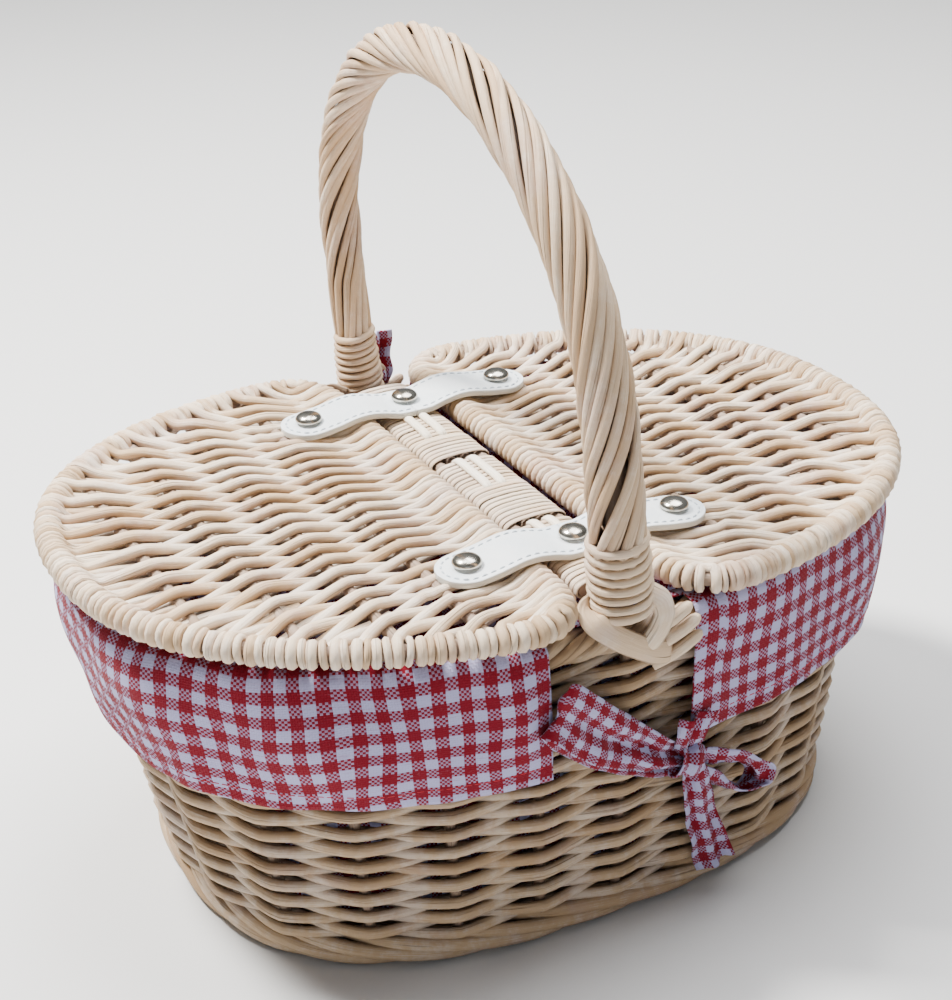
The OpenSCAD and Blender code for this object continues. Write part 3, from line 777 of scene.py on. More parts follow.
def lidOutline(inset, step):
    # the D of a left lid: rear corner, arc, front corner and straight edge, evenly stepped
    lid = lidLines
    length, width, power = lid["halfLength"] - inset, lid["halfWidth"] - inset, lid["squareness"]
    edge = lid["edge"] + inset
    cornerY = width * (1 - (edge / length) ** power) ** (1 / power)
    cut = lid["cornerCut"]
    first = math.acos(((edge + cut) / length) ** (power / 2))
    angle = np.linspace(math.pi - first, math.pi + first, 600)
    cos, sin = np.cos(angle), np.sin(angle)
    arc = np.stack([length * np.sign(cos) * np.abs(cos) ** (2 / power),
                    width * np.sign(sin) * np.abs(sin) ** (2 / power)], 1)

    def bend(start, corner, end):
        k = np.linspace(0, 1, 60)[:, None]
        return (1 - k) ** 2 * np.array(start) + 2 * k * (1 - k) * np.array(corner) + k ** 2 * np.array(end)
    rear = bend((-edge, cornerY - cut), (-edge, cornerY), arc[0])
    front = bend(arc[-1], (-edge, -cornerY), (-edge, cut - cornerY))
    line = np.concatenate([rear[:-1], arc[:-1], front, rear[:1]])
    run = distances(line)
    count = int(run[-1] / step)
    at = np.arange(count) * run[-1] / count
    even = np.stack([np.interp(at, run, line[:, 0]), np.interp(at, run, line[:, 1])], 1)
    ahead = unitRows(np.roll(even, -1, 0) - np.roll(even, 1, 0))
    return even, np.stack([-ahead[:, 1], ahead[:, 0]], 1) * -1


def lidPlace(points, isLeft):
    # lifts the left lid by its rise and mirrors the right one
    points = np.array(points, float)
    hingeX, hingeZ = lidLines["hinge"]
    if isLeft:
        x, z = points[:, 0] + hingeX, points[:, 2] - hingeZ
        cos, sin = math.cos(lidLines["rise"]), math.sin(lidLines["rise"])
        points[:, 0], points[:, 2] = x * cos + z * sin - hingeX, -x * sin + z * cos + hingeZ
    else:
        points[:, 0] *= -1
    return points


def lidVector(vectors, isLeft):
    vectors = np.array(vectors, float)
    if not isLeft:
        vectors[:, 0] *= -1
    return vectors


class LidRim:
    # the middle line of a lid's hoop, measured from the middle of its straight edge
    def __init__(self):
        lid = lidLines
        step = 0.5 * mm
        self.line, self.normal = lidOutline(lid["rimRadius"], step)
        centre = np.array([-75 * mm, 0])
        if ((self.line[0] - centre) * self.normal[0]).sum() < 0:
            self.normal = -self.normal
        self.perimeter = len(self.line) * step
        self.straight = 2 * lid["straightEnd"]
        self.curved = self.perimeter - self.straight
        onEdge = self.line[:, 0] > -lid["edge"] - lid["rimRadius"] - 0.3 * mm
        self.middle = int(np.argmin(np.where(onEdge, np.abs(self.line[:, 1]), 1)))
        self.ahead = 1 if self.at(5 * mm)[0][1] < self.at(0)[0][1] else -1
        self.inner = lid["rimRadius"] - lid["rodRadius"]

    def at(self, distance):
        place = (self.middle + distance / self.perimeter * len(self.line)) % len(self.line)
        i, share = int(place), place % 1
        j = (i + 1) % len(self.line)
        return (self.line[i] * (1 - share) + self.line[j] * share,
                unitRows(self.normal[i] * (1 - share) + self.normal[j] * share))

    def onStraight(self, share, shift):
        return self.at(self.ahead * (0.5 - share) * self.straight + shift)

    def onCurve(self, share, shift):
        return self.at(self.ahead * (self.straight / 2 + share * self.curved) + shift)


def makeLidFrame(isLeft, rim, core):
    lid = lidLines
    side = "left" if isLeft else "right"
    body = "lid_" + side
    hoop = np.column_stack([rim.line, np.full(len(rim.line), lid["rimHeight"])])[::6]
    rods = [rodAlong(lidPlace(hoop, isLeft), lid["hoopRadius"], (0, 0, 1), closed=True)]
    settle(rodMesh(side + "LidHoop", rods, 8, core), body, "willow", body + "_hoop")
    length, width = lid["halfLength"] - lid["rimRadius"], lid["halfWidth"] - lid["rimRadius"]
    power = lid["squareness"]
    rods = []
    for x in lid["sticks"]:
        reach = width * (1 - abs(x * mm / length) ** power) ** (1 / power)
        spot = [(x * mm, y, lid["matHeight"]) for y in np.linspace(-reach, reach, 15)]
        rods.append(rodAlong(lidPlace(spot, isLeft), lid["stickRadius"]))
    settle(rodMesh(side + "LidSticks", rods, 8, core), body, "willow", body + "_sticks")


def lidRodLine(near, nearOut, far, farOut):
    # leaves the straight edge square, fanning out a little, and meets the curve square
    gap = np.linalg.norm(far - near)
    leave = -nearOut + np.array([0, lidLines["fan"] * near[1] / (97 * mm)])
    t = np.linspace(0, 1, max(10, int(gap / (2.6 * mm))))[:, None]
    flat = ((2 * t ** 3 - 3 * t ** 2 + 1) * near + (t ** 3 - 2 * t ** 2 + t) * leave * gap
            + (3 * t ** 2 - 2 * t ** 3) * far + (t ** 3 - t ** 2) * farOut * gap * 0.62)
    return flat, t, gap


def shortLidRod(line, row, isLeft):
    # lies between two long rods from the curve to past the outer stick, a little below them
    lid = lidLines
    inward = np.arange(0, lid["shortRod"], 2.4 * mm)
    rise = np.clip(1 - inward / (9 * mm), 0, 1) ** 1.5
    low = lid["weaveHeight"] - 1.3 * mm + 0.8 * mm * np.sin(inward * 160 + row * math.pi)
    short = np.column_stack([line, low * (1 - rise) + lid["rimHeight"] * rise])
    # depth: the short rod lies below its neighbours; the willow finish paints shade there and thickens the
    # wash
    return rodAlong(lidPlace(short, isLeft), lid["rodRadius"] * (0.9 + 0.12 * dice.random()),
                    depth=0.35 * (1 - rise))


def longLidRods(isLeft, rim):
    # each rod weaves over and under the sticks and is bent down round the hoop at both ends
    lid = lidLines
    rows = lid["rows"]
    sticks = [-x * mm for x in lid["sticks"]]
    stations = [lid["edge"]] + sticks + [lid["halfLength"] - lid["rimRadius"] + 22 * mm]
    inward = np.arange(0, lid["shortRod"], 2.4 * mm)
    angle = math.pi / 2 - np.array([0.22, 0.42, 0.6, 0.76, 0.9, 1.0]) * math.pi * 1.02
    pad = len(angle)
    tail = None
    rods = []
    for row in range(rows):
        jitter = (dice.random() - 0.5) * 0.5 * mm
        share = (row + 0.5) / rows
        near, nearOut = rim.onStraight(share, jitter)
        far, farOut = rim.onCurve(share, jitter * 2)
        flat, t, gap = lidRodLine(near, nearOut, far, farOut)
        wander = noiseAt((p[0] * 22, row * 5.3, 2.0 if isLeft else 9.0) for p in flat)
        flat[:, 1] += wander * 1.0 * mm * np.sin(t[:, 0] * math.pi)
        gone = distances(flat[::-1])
        before, tail = tail, np.column_stack([np.interp(inward, gone, flat[::-1, k]) for k in (0, 1)])
        if before is not None and gap > 2.2 * lid["shortRod"]:
            rods.append(shortLidRod((tail + before) / 2, row, isLeft))
        fromMiddle = -flat[:, 0]
        phase = np.interp(fromMiddle, stations, np.arange(len(stations)))
        underStrap = (np.abs(np.abs(flat[:, 1]) - 66 * mm) < 13 * mm) & (fromMiddle < 60 * mm)
        swing = tent(phase + row) * np.where(underStrap, 0.45, 1)
        t = t[:, 0]
        close = np.clip(1 - np.minimum(t, 1 - t) * gap / (11 * mm), 0, 1)
        close = close * close * (3 - 2 * close)
        woven = lid["weaveHeight"] + swing * lid["swing"]
        z = woven * (1 - close) + (lid["rimHeight"] + rim.inner) * close
        # depth: how far the rod dips under the sticks; the willow finish paints shade there and thickens the
        # wash
        depth = np.pad(np.clip(0.5 - swing, 0, 1) * (1 - close), pad)
        size = lid["rodRadius"] * (0.94 + 0.12 * dice.random()) * (1 + 0.06 * wander)
        size = size * (1 + 0.25 * np.clip(t * 1.4, 0, 1) - 0.12 * np.clip(t * 6 - 5, 0, 1))
        size = np.pad(size, pad, mode="edge")
        ends, faces = [], []
        for spot, out in ((near, nearOut), (far, farOut)):
            ends.append(np.column_stack([spot + out * (np.cos(angle) * rim.inner)[:, None],
                                         lid["rimHeight"] + np.sin(angle) * rim.inner]))
            faces.append(np.column_stack([out * np.cos(angle)[:, None], np.sin(angle)]))
        path = np.concatenate([ends[0][::-1], np.column_stack([flat, z]), ends[1]])
        face = np.concatenate([faces[0][::-1], np.tile([0, 0, 1.0], (len(t), 1)), faces[1]])
        rods.append(rodAlong(lidPlace(path, isLeft), size, lidVector(face, isLeft), size * 0.96, depth=depth))
    return rods


def rimLoops(isLeft, rim):
    # loops wound round the hoop between the rod ends
    lid = lidLines
    angle = np.linspace(0, math.tau, 14, endpoint=False)
    spaces = (lid["leftFillers"] if isLeft else lid["rightFillers"]) + 1
    pitch = rim.curved / lid["rows"] / spaces
    rods = []
    for i in range(lid["rows"] * spaces):
        if i % spaces == 0:
            continue
        spot, out = rim.onCurve((i / spaces + 0.5) / lid["rows"], 0)
        along = np.array([-out[1], out[0]])
        lean = (dice.random() - 0.5) * 0.4
        size = rim.inner * (0.96 + 0.07 * dice.random())
        flat = spot + out * (np.cos(angle) * size)[:, None] + along * (np.sin(angle) * size * lean)[:, None]
        path = np.column_stack([flat, lid["rimHeight"] + np.sin(angle) * size])
        face = np.column_stack([out * np.cos(angle)[:, None], np.sin(angle)])
        wide = pitch * (0.36 + 0.09 * dice.random())
        thick = lid["rodRadius"] * (0.85 + 0.15 * dice.random())
        rods.append(rodAlong(lidPlace(path, isLeft), wide, lidVector(face, isLeft), thick, True))
    return rods


def makeLid(isLeft, willow, core):
    rim = LidRim()
    side = "left" if isLeft else "right"
    makeLidFrame(isLeft, rim, core)
    rods = longLidRods(isLeft, rim) + rimLoops(isLeft, rim)
    settle(rodMesh(side + "LidWeave", rods, 7, willow), "lid_" + side, "willow", f"lid_{side}_weave")
    print(side, "lid woven,", lidLines["rows"], "rows")


strapLines = {"width": 22 * mm, "thick": 2.4 * mm, "half": 52 * mm, "y": 66 * mm,
              "stitchInset": 2.2 * mm, "stitch": 2.1 * mm, "stitchGap": 1.2 * mm, "threadRadius": 0.36 * mm,
              "rivet": 41 * mm, "hingeGap": 2.5 * mm}
# the underside's height over the bar and the lid
strapProfile = {"x": (0, 7, 13.5, 19, 24, 33, 41, 52),
                "z": (137.5, 137.6, 139.4, 140.4, 140.3, 138.4, 137.3, 137.2)}


def strapHeight(x):
    xs, zs = (np.array(strapProfile[k], float) for k in ("x", "z"))
    fine = np.linspace(0, 52, 209)
    rough = np.interp(fine, xs, zs)
    window = np.hanning(27)[1:-1] / np.hanning(27).sum()
    soft = np.convolve(np.pad(rough, 12, mode="edge"), window, "valid")
    return float(np.interp(abs(x) / mm, fine, soft) * mm)


def strapSection():
    # corners as (share of half width, share of thickness, edge)
    left = [(-1, 0.5, 1), (-1, 0.86, 0.9), (-0.985, 0.97, 0.5), (-0.955, 1, 0)]
    # a shallow groove under each row of stitches
    places = (-0.9, -0.84, -0.80, -0.76, -0.7, -0.35, 0, 0.35, 0.7, 0.76, 0.80, 0.84, 0.9)
    top = [(v, 1 - 0.09 * math.exp(-((abs(v) - 0.80) / 0.035) ** 2), 0) for v in places]
    right = [(0.955, 1, 0), (0.985, 0.97, 0.5), (1, 0.86, 0.9), (1, 0.5, 1), (1, 0.1, 1), (0.97, 0, 1)]
    under = [(v, 0, 0.4) for v in (0.8, 0, -0.8)] + [(-0.97, 0, 1), (-1, 0.1, 1)]
    return left + top + right + under


def addLeather(mesh, sign, y):
    strap = strapLines
    edgeLayer = mesh.verts.layers.float.new("strapEdge")
    section = strapSection()
    halfWidth = strap["width"] / 2
    straight = strap["half"] - halfWidth
    tip = 0.78 + 0.22 * np.sin(np.linspace(0.12, 1, 12) * math.pi / 2)
    step = 0.4 * mm
    rings = []
    for share in list(np.linspace(0, 0.78, 34)) + list(tip):
        x = share * strap["half"]
        past = max(0, x - straight) / halfWidth
        reach = halfWidth * math.sqrt(max(0, 1 - min(past, 0.9995) ** 2))
        low = strapHeight(x)
        tilt = math.atan((strapHeight(x + step) - low) / step)
        ring = []
        for v, h, edge in section:
            lift = h * strap["thick"]
            spot = mesh.verts.new((sign * (x - lift * math.sin(tilt)), y + sign * v * reach,
                                   low + lift * math.cos(tilt)))
            spot[edgeLayer] = edge
            ring.append(spot)
        rings.append(ring)
    count = len(section)
    for one, two in zip(rings, rings[1:]):
        for i in range(count):
            mesh.faces.new((one[i], one[(i + 1) % count], two[(i + 1) % count], two[i]))
    mesh.faces.new(rings[0][::-1])
    mesh.faces.new(rings[-1])


def addStitches(mesh, sign, y):
    # along both edges and round the tip
    strap = strapLines
    inset = strap["width"] / 2 - strap["stitchInset"]
    straight = strap["half"] - strap["width"] / 2
    path = [(x, inset) for x in np.arange(1.5 * mm, straight, 0.2 * mm)]
    path += [(straight + inset * math.cos(a), inset * math.sin(a))
             for a in np.linspace(math.pi / 2, -math.pi / 2, 160)]
    path += [(x, -inset) for x in np.arange(straight, 1.5 * mm, -0.2 * mm)]
    path = np.array(path)
    run = distances(path)
    pitch = strap["stitch"] + strap["stitchGap"]
    corners = 6
    for i in range(int(run[-1] / pitch)):
        at = np.linspace(i * pitch, i * pitch + strap["stitch"], 5)
        px, py = np.interp(at, run, path[:, 0]), np.interp(at, run, path[:, 1])
        ahead = unitRows(np.array([[px[-1] - px[0], py[-1] - py[0]]]))[0]
        rows = []
        for j in range(5):
            inside = 0 < j < 4
            size = strap["threadRadius"] * (1 if inside else 0.55)
            rise = strapHeight(px[j]) + strap["thick"] + (0.12 * mm if inside else -0.15 * mm)
            row = []
            for corner in range(corners):
                a = corner * math.tau / corners
                shift = math.cos(a) * size
                row.append(mesh.verts.new((sign * (px[j] - ahead[1] * shift),
                                           y + sign * (py[j] + ahead[0] * shift),
                                           rise + math.sin(a) * size)))
            rows.append(row)
        for one, two in zip(rows, rows[1:]):
            for j in range(corners):
                k = (j + 1) % corners
                mesh.faces.new((one[j], one[k], two[k], two[j])).material_index = 1
        for cap in (rows[0][::-1], rows[-1]):
            mesh.faces.new(cap).material_index = 1


def makeStrap(isLeft, side, leather, thread):
    sign = -1 if isLeft else 1
    y = side * strapLines["y"]
    mesh = bmesh.new()
    addLeather(mesh, sign, y)
    addStitches(mesh, sign, y)
    bmesh.ops.recalc_face_normals(mesh, faces=mesh.faces)
    for face in mesh.faces:
        face.smooth = True
    where = "front" if side < 0 else "rear"
    hand = "left" if isLeft else "right"
    name = where + hand.capitalize() + "Strap"
    data = bpy.data.meshes.new(name)
    mesh.to_mesh(data)
    mesh.free()
    data.materials.append(leather)
    data.materials.append(thread)
    piece = bpy.data.objects.new(name, data)
    bpy.context.collection.objects.link(piece)
    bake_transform(piece)
    nodes = [f"strap_{where}_{hand}_end"] + ([f"strap_{where}_centre"] if isLeft else [])
    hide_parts(*nodes)


rivetLines = {"radius": 5.2 * mm, "height": 2.7 * mm, "turnDown": 0.55 * mm, "taper": 0.97,
              "lift": 0.45 * mm}


def rivetCap():
    # a domed cap with a thin turned-down edge
    rivet = rivetLines
    bpy.ops.object.select_all(action="DESELECT")
    bpy.ops.mesh.primitive_uv_sphere_add(segments=40, ring_count=24, radius=rivet["radius"])
    cap = bpy.context.object
    bpy.ops.object.mode_set(mode="EDIT")
    bpy.ops.mesh.select_all(action="SELECT")
    bpy.ops.mesh.bisect(plane_co=(0, 0, 0), plane_no=(0, 0, 1), clear_inner=True, use_fill=True)
    bpy.ops.mesh.select_all(action="SELECT")
    bpy.ops.transform.resize(value=(1, 1, rivet["height"] / rivet["radius"]))
    bpy.ops.object.mode_set(mode="OBJECT")
    mesh = bmesh.new()
    mesh.from_mesh(cap.data)
    bottom = [face for face in mesh.faces if face.normal.z < -0.9]
    grown = bmesh.ops.extrude_face_region(mesh, geom=bottom)
    bmesh.ops.delete(mesh, geom=bottom, context="FACES_ONLY")
    for vert in grown["geom"]:
        if isinstance(vert, bmesh.types.BMVert):
            vert.co.z -= rivet["turnDown"]
            vert.co.x *= rivet["taper"]
            vert.co.y *= rivet["taper"]
    bmesh.ops.recalc_face_normals(mesh, faces=mesh.faces)
    mesh.to_mesh(cap.data)
    mesh.free()
    for face in cap.data.polygons:
        face.use_smooth = True
    return cap


def makeRivets(name, places, body, node, nickel):
    # one cap, copied to each place and joined
    first = rivetCap()
    made = [first]
    for _ in places[1:]:
        cap = first.copy()
        cap.data = first.data.copy()
        bpy.context.collection.objects.link(cap)
        made.append(cap)
    bpy.ops.object.select_all(action="DESELECT")
    for cap, place in zip(made, places):
        cap.data.transform(Matrix.Translation(place))
        cap.select_set(True)
    bpy.context.view_layer.objects.active = first
    bpy.ops.object.join()
    first.name = name
    first.data.materials.clear()
    first.data.materials.append(nickel)
    settle(first, body, "rivet", node)


def makeHardware(nickel):
    def pair(x):
        # the front and rear places of two caps on the straps
        top = strapHeight(x) + strapLines["thick"] + rivetLines["lift"]
        return [(x, side * strapLines["y"], top) for side in (-1, 1)]
    makeRivets("barRivets", pair(0), "basket", "bar_rivets", nickel)
    for hand, sign in (("left", -1), ("right", 1)):
        makeRivets(hand + "LidRivets", pair(sign * strapLines["rivet"]), "lid_" + hand,
                   f"lid_{hand}_rivets", nickel)
    for node in ("bar_rivet_backs", "lid_left_rivet_backs", "lid_right_rivet_backs"):
        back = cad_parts[node]
        back.data.materials.clear()
        back.data.materials.append(nickel)
    print("straps riveted")


def clothGrid(name, spots, flat, material):
    # spots and flat are arrays [rows][columns] of places and cloth coordinates
    rows, columns = spots.shape[:2]
    mesh = bpy.data.meshes.new(name)
    i, j = np.meshgrid(np.arange(rows - 1), np.arange(columns - 1), indexing="ij")
    i, j = i.ravel(), j.ravel()
    corners = ((i, j), (i + 1, j), (i + 1, j + 1), (i, j + 1))
    faces = np.stack([row * columns + column for row, column in corners], 1)
    mesh.from_pydata(spots.reshape(-1, 3).tolist(), [], faces.tolist())
    layer = mesh.uv_layers.new(name="clothMap")
    places = np.stack([flat[row, column] for row, column in corners], 1)
    layer.data.foreach_set("uv", places.astype(np.float32).ravel())
    for face in mesh.polygons:
        face.use_smooth = True
    piece = bpy.data.objects.new(name, mesh)
    bpy.context.collection.objects.link(piece)
    mesh.materials.append(material)
    return piece


def clothThickness(piece, thickness):
    bpy.ops.object.select_all(action="DESELECT")
    piece.select_set(True)
    bpy.context.view_layer.objects.active = piece
    solid = piece.modifiers.new("thickness", "SOLIDIFY")
    solid.thickness, solid.offset = thickness, 1
    bpy.ops.object.modifier_apply(modifier="thickness")


valance = {"drop": 51 * mm, "out": 8.6 * mm, "fold": 1.9 * mm, "puff": 4.6 * mm, "thickness": 0.7 * mm,
           "leftNotch": 33 * mm, "rightNotch": 22 * mm, "columns": 260, "rows": 40, "topRows": 6,
           "overRim": 7.2 * mm, "checkStart": 1.3 * mm, "stitchPitch": 3.1 * mm, "hemRow": 5}


def turnAtX(x, front):
    # where the rim's oval passes x, as a count of stakes
    half = basketLines["stakes"] / 2
    turns = np.linspace(half, 2 * half, 2401) if front else np.linspace(0, half, 2401)
    place, _ = ovalLine(basketLines["rimHeight"], 0, turns)
    return float(turns[np.argmin(np.abs(place[:, 0] - x))])


def valanceGrid(isLeft, turn, run):
    cut = valance
    rows, topRows = cut["rows"], cut["topRows"]
    rimZ = basketLines["rimHeight"]
    hand = 3.0 if isLeft else 8.0
    spots, flat = [], []
    length = 0.0
    calm = np.clip(np.minimum(run, run[-1] - run) / (10 * mm), 0.25, 1)
    for row in range(rows):
        # over the border's top first, then down the outside
        if row < topRows:
            share = row / topRows
            out = -0.5 * mm + share * cut["overRim"]
            z = rimZ + 1.2 * mm - share ** 3 * 1.5 * mm
        else:
            share = (row - topRows) / (rows - topRows - 1)
            z = rimZ - 1.5 * mm - share * (cut["drop"] - 1.5 * mm)
            out = cut["out"] - 1.2 * mm * (1 - share) + 1.6 * mm * share
        down = max(0.0, (row - topRows) / (rows - topRows - 1))
        place, way = ovalLine(z, 0, turn)
        fold = noiseAt((along * 26, down * 0.8, hand) for along in run)
        crease = noiseAt((along * 70, down * 2.5 + along * 12, 1.0) for along in run)
        swell = max(0, math.sin(min(1, down ** 0.75 * 1.03) * math.pi) * cut["puff"])
        bulge = down ** 0.8 * (fold * 2.0 + crease * 0.6) * cut["fold"] + swell * (0.6 + fold)
        place = place + way * (out + bulge * calm)[:, None]
        place[:, 2] += fold * 3.2 * mm * down
        if spots:
            length += float(np.median(np.linalg.norm(place - spots[-1], axis=1)))
        spots.append(place)
        # the checks wander a little from the hem's line, as the cloth is gathered
        sway = np.roll(fold, 9) * 5 * mm + np.sin(run * 24) * 1.5 * mm
        flat.append(np.column_stack([run + crease * 1.6 * mm, length + cut["checkStart"] + sway]))
    return np.array(spots), np.array(flat), length


def makeValance(isLeft, cloth, thread):
    cut = valance
    if isLeft:
        start, end = (turnAtX(-cut["leftNotch"], front) for front in (False, True))
    else:
        start = turnAtX(cut["rightNotch"], True)
        end = turnAtX(cut["rightNotch"], False) + basketLines["stakes"]
    turn = np.linspace(start, end, cut["columns"])
    top, normal = ovalLine(basketLines["rimHeight"], 0, turn)
    run = distances(top)
    spots, flat, length = valanceGrid(isLeft, turn, run)
    name = "leftValance" if isLeft else "rightValance"
    piece = clothGrid(name, spots, flat, cloth)
    clothThickness(piece, cut["thickness"])
    settle(piece, "basket", "gingham", "valance_left" if isLeft else "valance_right")
    # the hem's sewn line
    hemLine = spots[cut["rows"] - cut["hemRow"]]
    stitches = []
    for along in np.arange(0, run[-1] - 3 * mm, cut["stitchPitch"]):
        way = np.array([np.interp(along, run, normal[:, k]) for k in range(3)])
        points = [[np.interp(along + step, run, hemLine[:, k]) for k in range(3)]
                  for step in (0, 1.0 * mm, 2.1 * mm)]
        stitches.append(rodAlong(np.array(points) + way * 0.75 * mm, 0.22 * mm, way, 0.16 * mm))
    settle(rodMesh(name + "Stitches", stitches, 5, thread), "basket", "gingham")
    print(name, "hung,", round(length * 1000), "mm deep")


linerLines = {"columns": 280, "thickness": 0.6 * mm, "fold": 2.6 * mm, "floor": 11.9 * mm,
              "firstRing": 0.998, "rings": np.linspace(0.92, 0.02, 14),
              "round": 0.8, "deep": 0.115, "floorLength": 0.25, "floorWidth": 0.175,
              "cloth": (0.62, 0.5)}


def makeLiner(cloth):
    liner = linerLines
    turn = np.arange(liner["columns"] + 1) / liner["columns"] * basketLines["stakes"]
    rimZ = basketLines["rimHeight"]
    # heights with their distances from the wall's oval, from the rim's top to the floor
    levels = [(rimZ + 1.3 * mm, -0.6), (rimZ + 1.2 * mm, -3.0), (rimZ + 0.2 * mm, -6.0),
              (rimZ - 3 * mm, -7.2)]
    levels += [(z * mm, -7.2 + 0.8 * math.sin(z * 0.2)) for z in np.linspace(rimZ / mm - 8, 16, 20)]
    levels += [(13 * mm, -8.2), (12 * mm, -11)]
    spots, flat = [], []
    length = 0.0
    for z, out in levels:
        line, way = ovalLine(z, out * mm, turn)
        ripple = noiseAt((w[0] * 6, w[1] * 6, z * 25) for w in way)
        deep = min(1, max(0, (rimZ - z) / (20 * mm)))
        line = line - way * (deep * np.abs(ripple) * liner["fold"])[:, None]
        if spots:
            length += float(np.median(np.linalg.norm(line - spots[-1], axis=1)))
        run = distances(line)
        spots.append(line)
        flat.append(np.column_stack([run / run[-1] * liner["round"], np.full(len(turn), length)]))
    # the floor of the bag, rings that shrink to the middle
    seam = spots[-1]
    for share in (liner["firstRing"], *liner["rings"]):
        ring = seam.copy()
        ring[:, :2] *= share
        ring[:, 2] = liner["floor"] + 0.5 * mm * noiseAt((p[0] * 30, p[1] * 30, 0) for p in ring)
        spots.append(ring)
        flat.append(ring[:, :2] + np.array([0.5, 0.5]))
    piece = clothGrid("linerBag", np.array(spots), np.array(flat), cloth)
    clothThickness(piece, liner["thickness"])
    settle(piece, "basket", "gingham", "liner_bag")


def ribbon(name, spots, wide, widths, folds, thickness, start, cloth):
    # a strip of cloth along spots; wide gives its crosswise direction, folds its crumple
    spots, wide = np.array(spots, float), unitRows(np.array(wide, float))
    fine = np.linspace(0, len(spots) - 1, len(spots) * 6)
    at = np.arange(len(spots))
    line = np.column_stack([np.interp(fine, at, spots[:, k]) for k in range(3)])
    soften(line, 6)
    cross = unitRows(np.column_stack([np.interp(fine, at, wide[:, k]) for k in range(3)]))
    width = np.interp(fine, at, widths)
    fold = np.interp(fine, at, folds)
    out = unitRows(np.cross(unitRows(np.gradient(line, axis=0)), cross))
    run = distances(line)
    grid, flat = [], []
    for share in np.linspace(-0.5, 0.5, 11):
        crumple = noiseAt((along * 110, share * 2.6, start * 9) for along in run)
        wave = (np.sin(share * math.tau * 1.4 + run * 45) + 0.4 * math.cos(share * math.pi * 5)
                + 1.7 * crumple) * fold
        grid.append(line + cross * (width * share)[:, None] + out * wave[:, None])
        flat.append(np.column_stack([run + start, share * max(widths) * 1.5 + 0.02 + 0 * run]))
    piece = clothGrid(name, np.array(grid), np.array(flat), cloth)
    clothThickness(piece, thickness)
    return piece, float(run[-1])


# each ribbon has its route as (x, height, distance from the wall), the crosswise direction at each point
# as (x, outwards, up), its widths and its crumple, all in mm; cutWidth is the width it is cut at
tie = {"wall": 102.5, "slope": 0.075, "start": 65, "thickness": 0.5, "knotThickness": 0.6,
       "knotX": 22, "knotPoints": 12, "knotWidth": 11, "knotFold": 0.9}
tieRibbons = {
    # out to the upper left and back
    "TieLargeLoop": {
        "route": ((20, 66, 4), (8, 73, 5), (-8, 84, 6), (-22, 96, 8), (-31, 106, 8.5), (-34, 106, 7),
                  (-29, 98, 4.5), (-18, 86, 3.2), (-4, 75, 2.6), (12, 66, 2.6), (20, 64, 3)),
        "wide": ((0.2, 0, 1), (0.35, 0, 1), (0.5, 0, 1), (0.55, 0, 0.9), (0.5, 0, 0.9), (0.5, 0, 0.9),
                 (0.5, 0, 0.9), (0.5, 0, 1), (0.4, 0, 1), (0.3, 0, 1), (0.2, 0, 1)),
        "widths": (9, 15, 20, 22, 21, 20, 20, 18, 15, 12, 8),
        "folds": (1.3, 1.9, 1.8, 1.4, 1.0, 0.9, 1.0, 1.1, 1.2, 1.2, 0.8), "start": 0.0, "cutWidth": 20},
    "TieSmallLoop": {
        "route": ((24, 65, 4), (33, 63, 6), (45, 58, 7), (53, 51, 6.5), (53, 44, 5), (45, 43, 4),
                  (36, 50, 3.5), (28, 58, 3.5), (23, 62, 3.5)),
        "wide": ((0.3, 0.8, 1), (0, 0.8, 1), (0.2, 1, 0.6), (0.6, 1, 0.2), (0.6, 1, 0.1), (0.2, 1, 0.4),
                 (0, 1, 0.6), (0, 1, 0.8), (0, 1, 0.8)),
        "widths": (8, 11, 12, 12, 12, 11, 10, 9, 7), "folds": (1.0,) * 9, "start": 0.2, "cutWidth": 12},
    "TieTail": {
        "route": ((23, 63, 6), (25, 56, 7), (27, 46, 6.5), (30, 36, 6), (33, 26, 5.8), (36, 17, 5.6),
                  (38, 11.5, 5.6)),
        "wide": ((1, 0, 0.3),) * 7, "widths": (9, 12, 13, 13, 14, 15, 15),
        "folds": (1.4, 1.4, 1.3, 1.2, 1.2, 1.2, 1.2), "start": 0.4, "cutWidth": 15},
    # up from the knot to the valance
    "TieLead": {
        "route": ((22, 67, 3.5), (21, 74, 5), (21.5, 80, 6.5), (23.5, 85, 7.2)),
        "wide": ((1, 0, 0),) * 4, "widths": (8, 11, 13, 15), "folds": (1.3,) * 4, "start": 0.6,
        "cutWidth": 12}}
# the end that stands up between the rear collar and the right lid
rearTieEnd = {
    "route": ((10, 128, 1.5), (11, 134, 2), (9.5, 140, 1), (10.5, 146, 2), (9.5, 151.5, 1)),
    "wide": ((1, 0.2, 0.1),) * 5, "widths": (5, 7, 9, 11, 11), "folds": (1.5,) * 5, "start": 1.0,
    "cutWidth": 11}


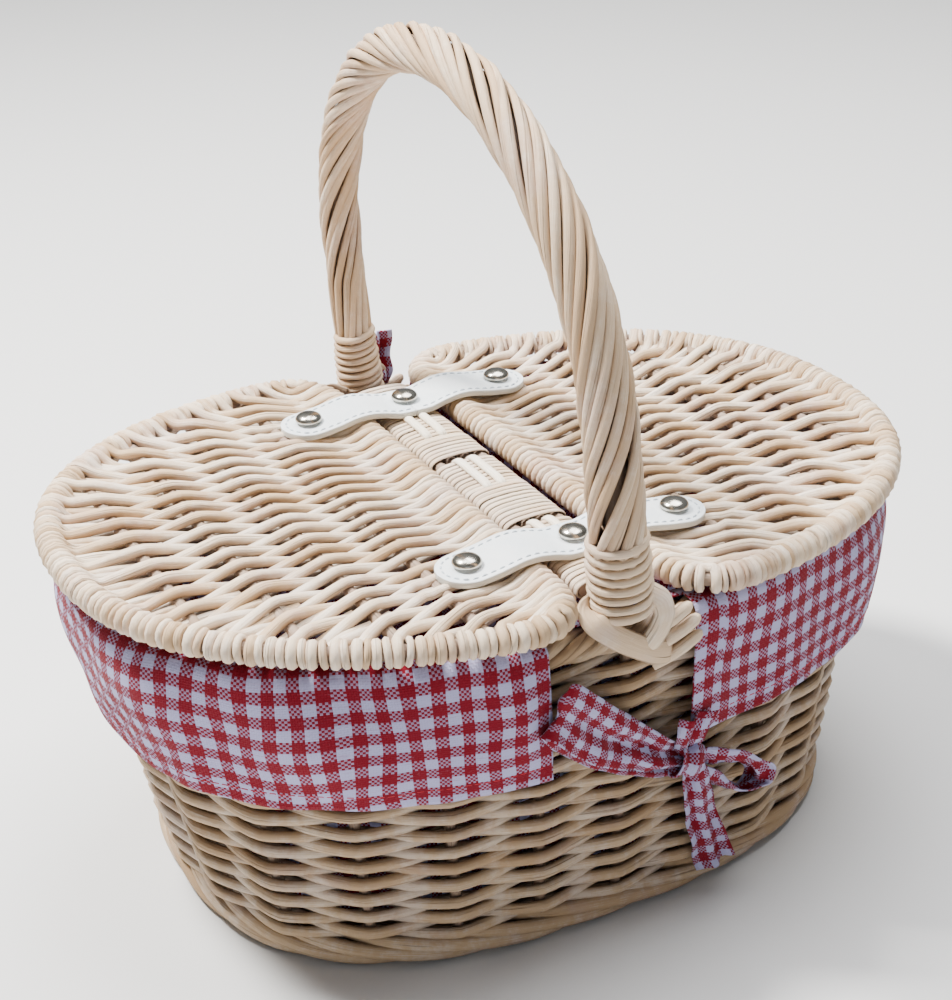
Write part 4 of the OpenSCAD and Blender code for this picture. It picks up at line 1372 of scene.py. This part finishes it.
def tieRibbon(name, side, cut, cloth):
    spots = [(x * mm, side * (tie["wall"] * mm + out * mm + (z - tie["start"]) * tie["slope"] * mm), z * mm)
             for x, z, out in cut["route"]]
    wide = [(x, side * outwards, up) for x, outwards, up in cut["wide"]]
    widths, folds = ([size * mm for size in cut[key]] for key in ("widths", "folds"))
    return ribbon(name, spots, wide, widths, folds, tie["thickness"] * mm, cut["start"], cloth)


def tieKnot(name, side, cloth):
    # an oval ring round the ribbons
    count = tie["knotPoints"]
    spots = [((tie["knotX"] + 4.6 * math.cos(a) * 0.5) * mm,
              side * (tie["wall"] * mm + (5.2 + 4.2 * math.sin(a)) * mm),
              (tie["start"] + 5.5 * math.cos(a)) * mm) for a in np.linspace(0, math.tau * 0.93, count)]
    return ribbon(name, spots, [(1, 0, -0.35)] * count, [tie["knotWidth"] * mm] * count,
                  [tie["knotFold"] * mm] * count, tie["knotThickness"] * mm, 0.8, cloth)


def makeTie(side, cloth):
    name = "front" if side < 0 else "rear"
    made = [(*tieRibbon(name + key, side, cut, cloth), cut["cutWidth"]) for key, cut in tieRibbons.items()]
    made.append((*tieKnot(name + "TieKnot", side, cloth), tie["knotWidth"]))
    for piece, length, cutWidth in made:
        settle(piece, "basket", "gingham")
        cutWidth * mm
    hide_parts("tie_" + name)
    if side > 0:
        piece, length = tieRibbon("rearTieTop", side, rearTieEnd, cloth)
        settle(piece, "basket", "gingham")
    print(name, "tie knotted")


addCamera()
addStage()
sideWillow, lidWillow, handleWillow, coreWillow, cane, slipCane = (willowFinish(name) for name in (
    "sideWillow", "lidWillow", "handleWillow", "coreWillow", "splitCane", "creamSlip"))
gingham, redThread = ginghamFinish(), redThreadFinish()
leather, whiteThread, nickel = strapFinish(), whiteThreadFinish(), nickelFinish()

makeSide(sideWillow, coreWillow)
makeFootBorder(sideWillow)
makeRimBorder(sideWillow)
makeBase(sideWillow, coreWillow)
makeHandle(handleWillow, coreWillow)
makeCollars(cane)
makeLashings(cane)
makeBar(cane, coreWillow, slipCane)
for isLeft in (True, False):
    makeLid(isLeft, lidWillow, coreWillow)
    for side in (-1, 1):
        makeStrap(isLeft, side, leather, whiteThread)
makeHardware(nickel)
makeLiner(gingham)
for isLeft in (True, False):
    makeValance(isLeft, gingham, redThread)
for side in (-1, 1):
    makeTie(side, gingham)
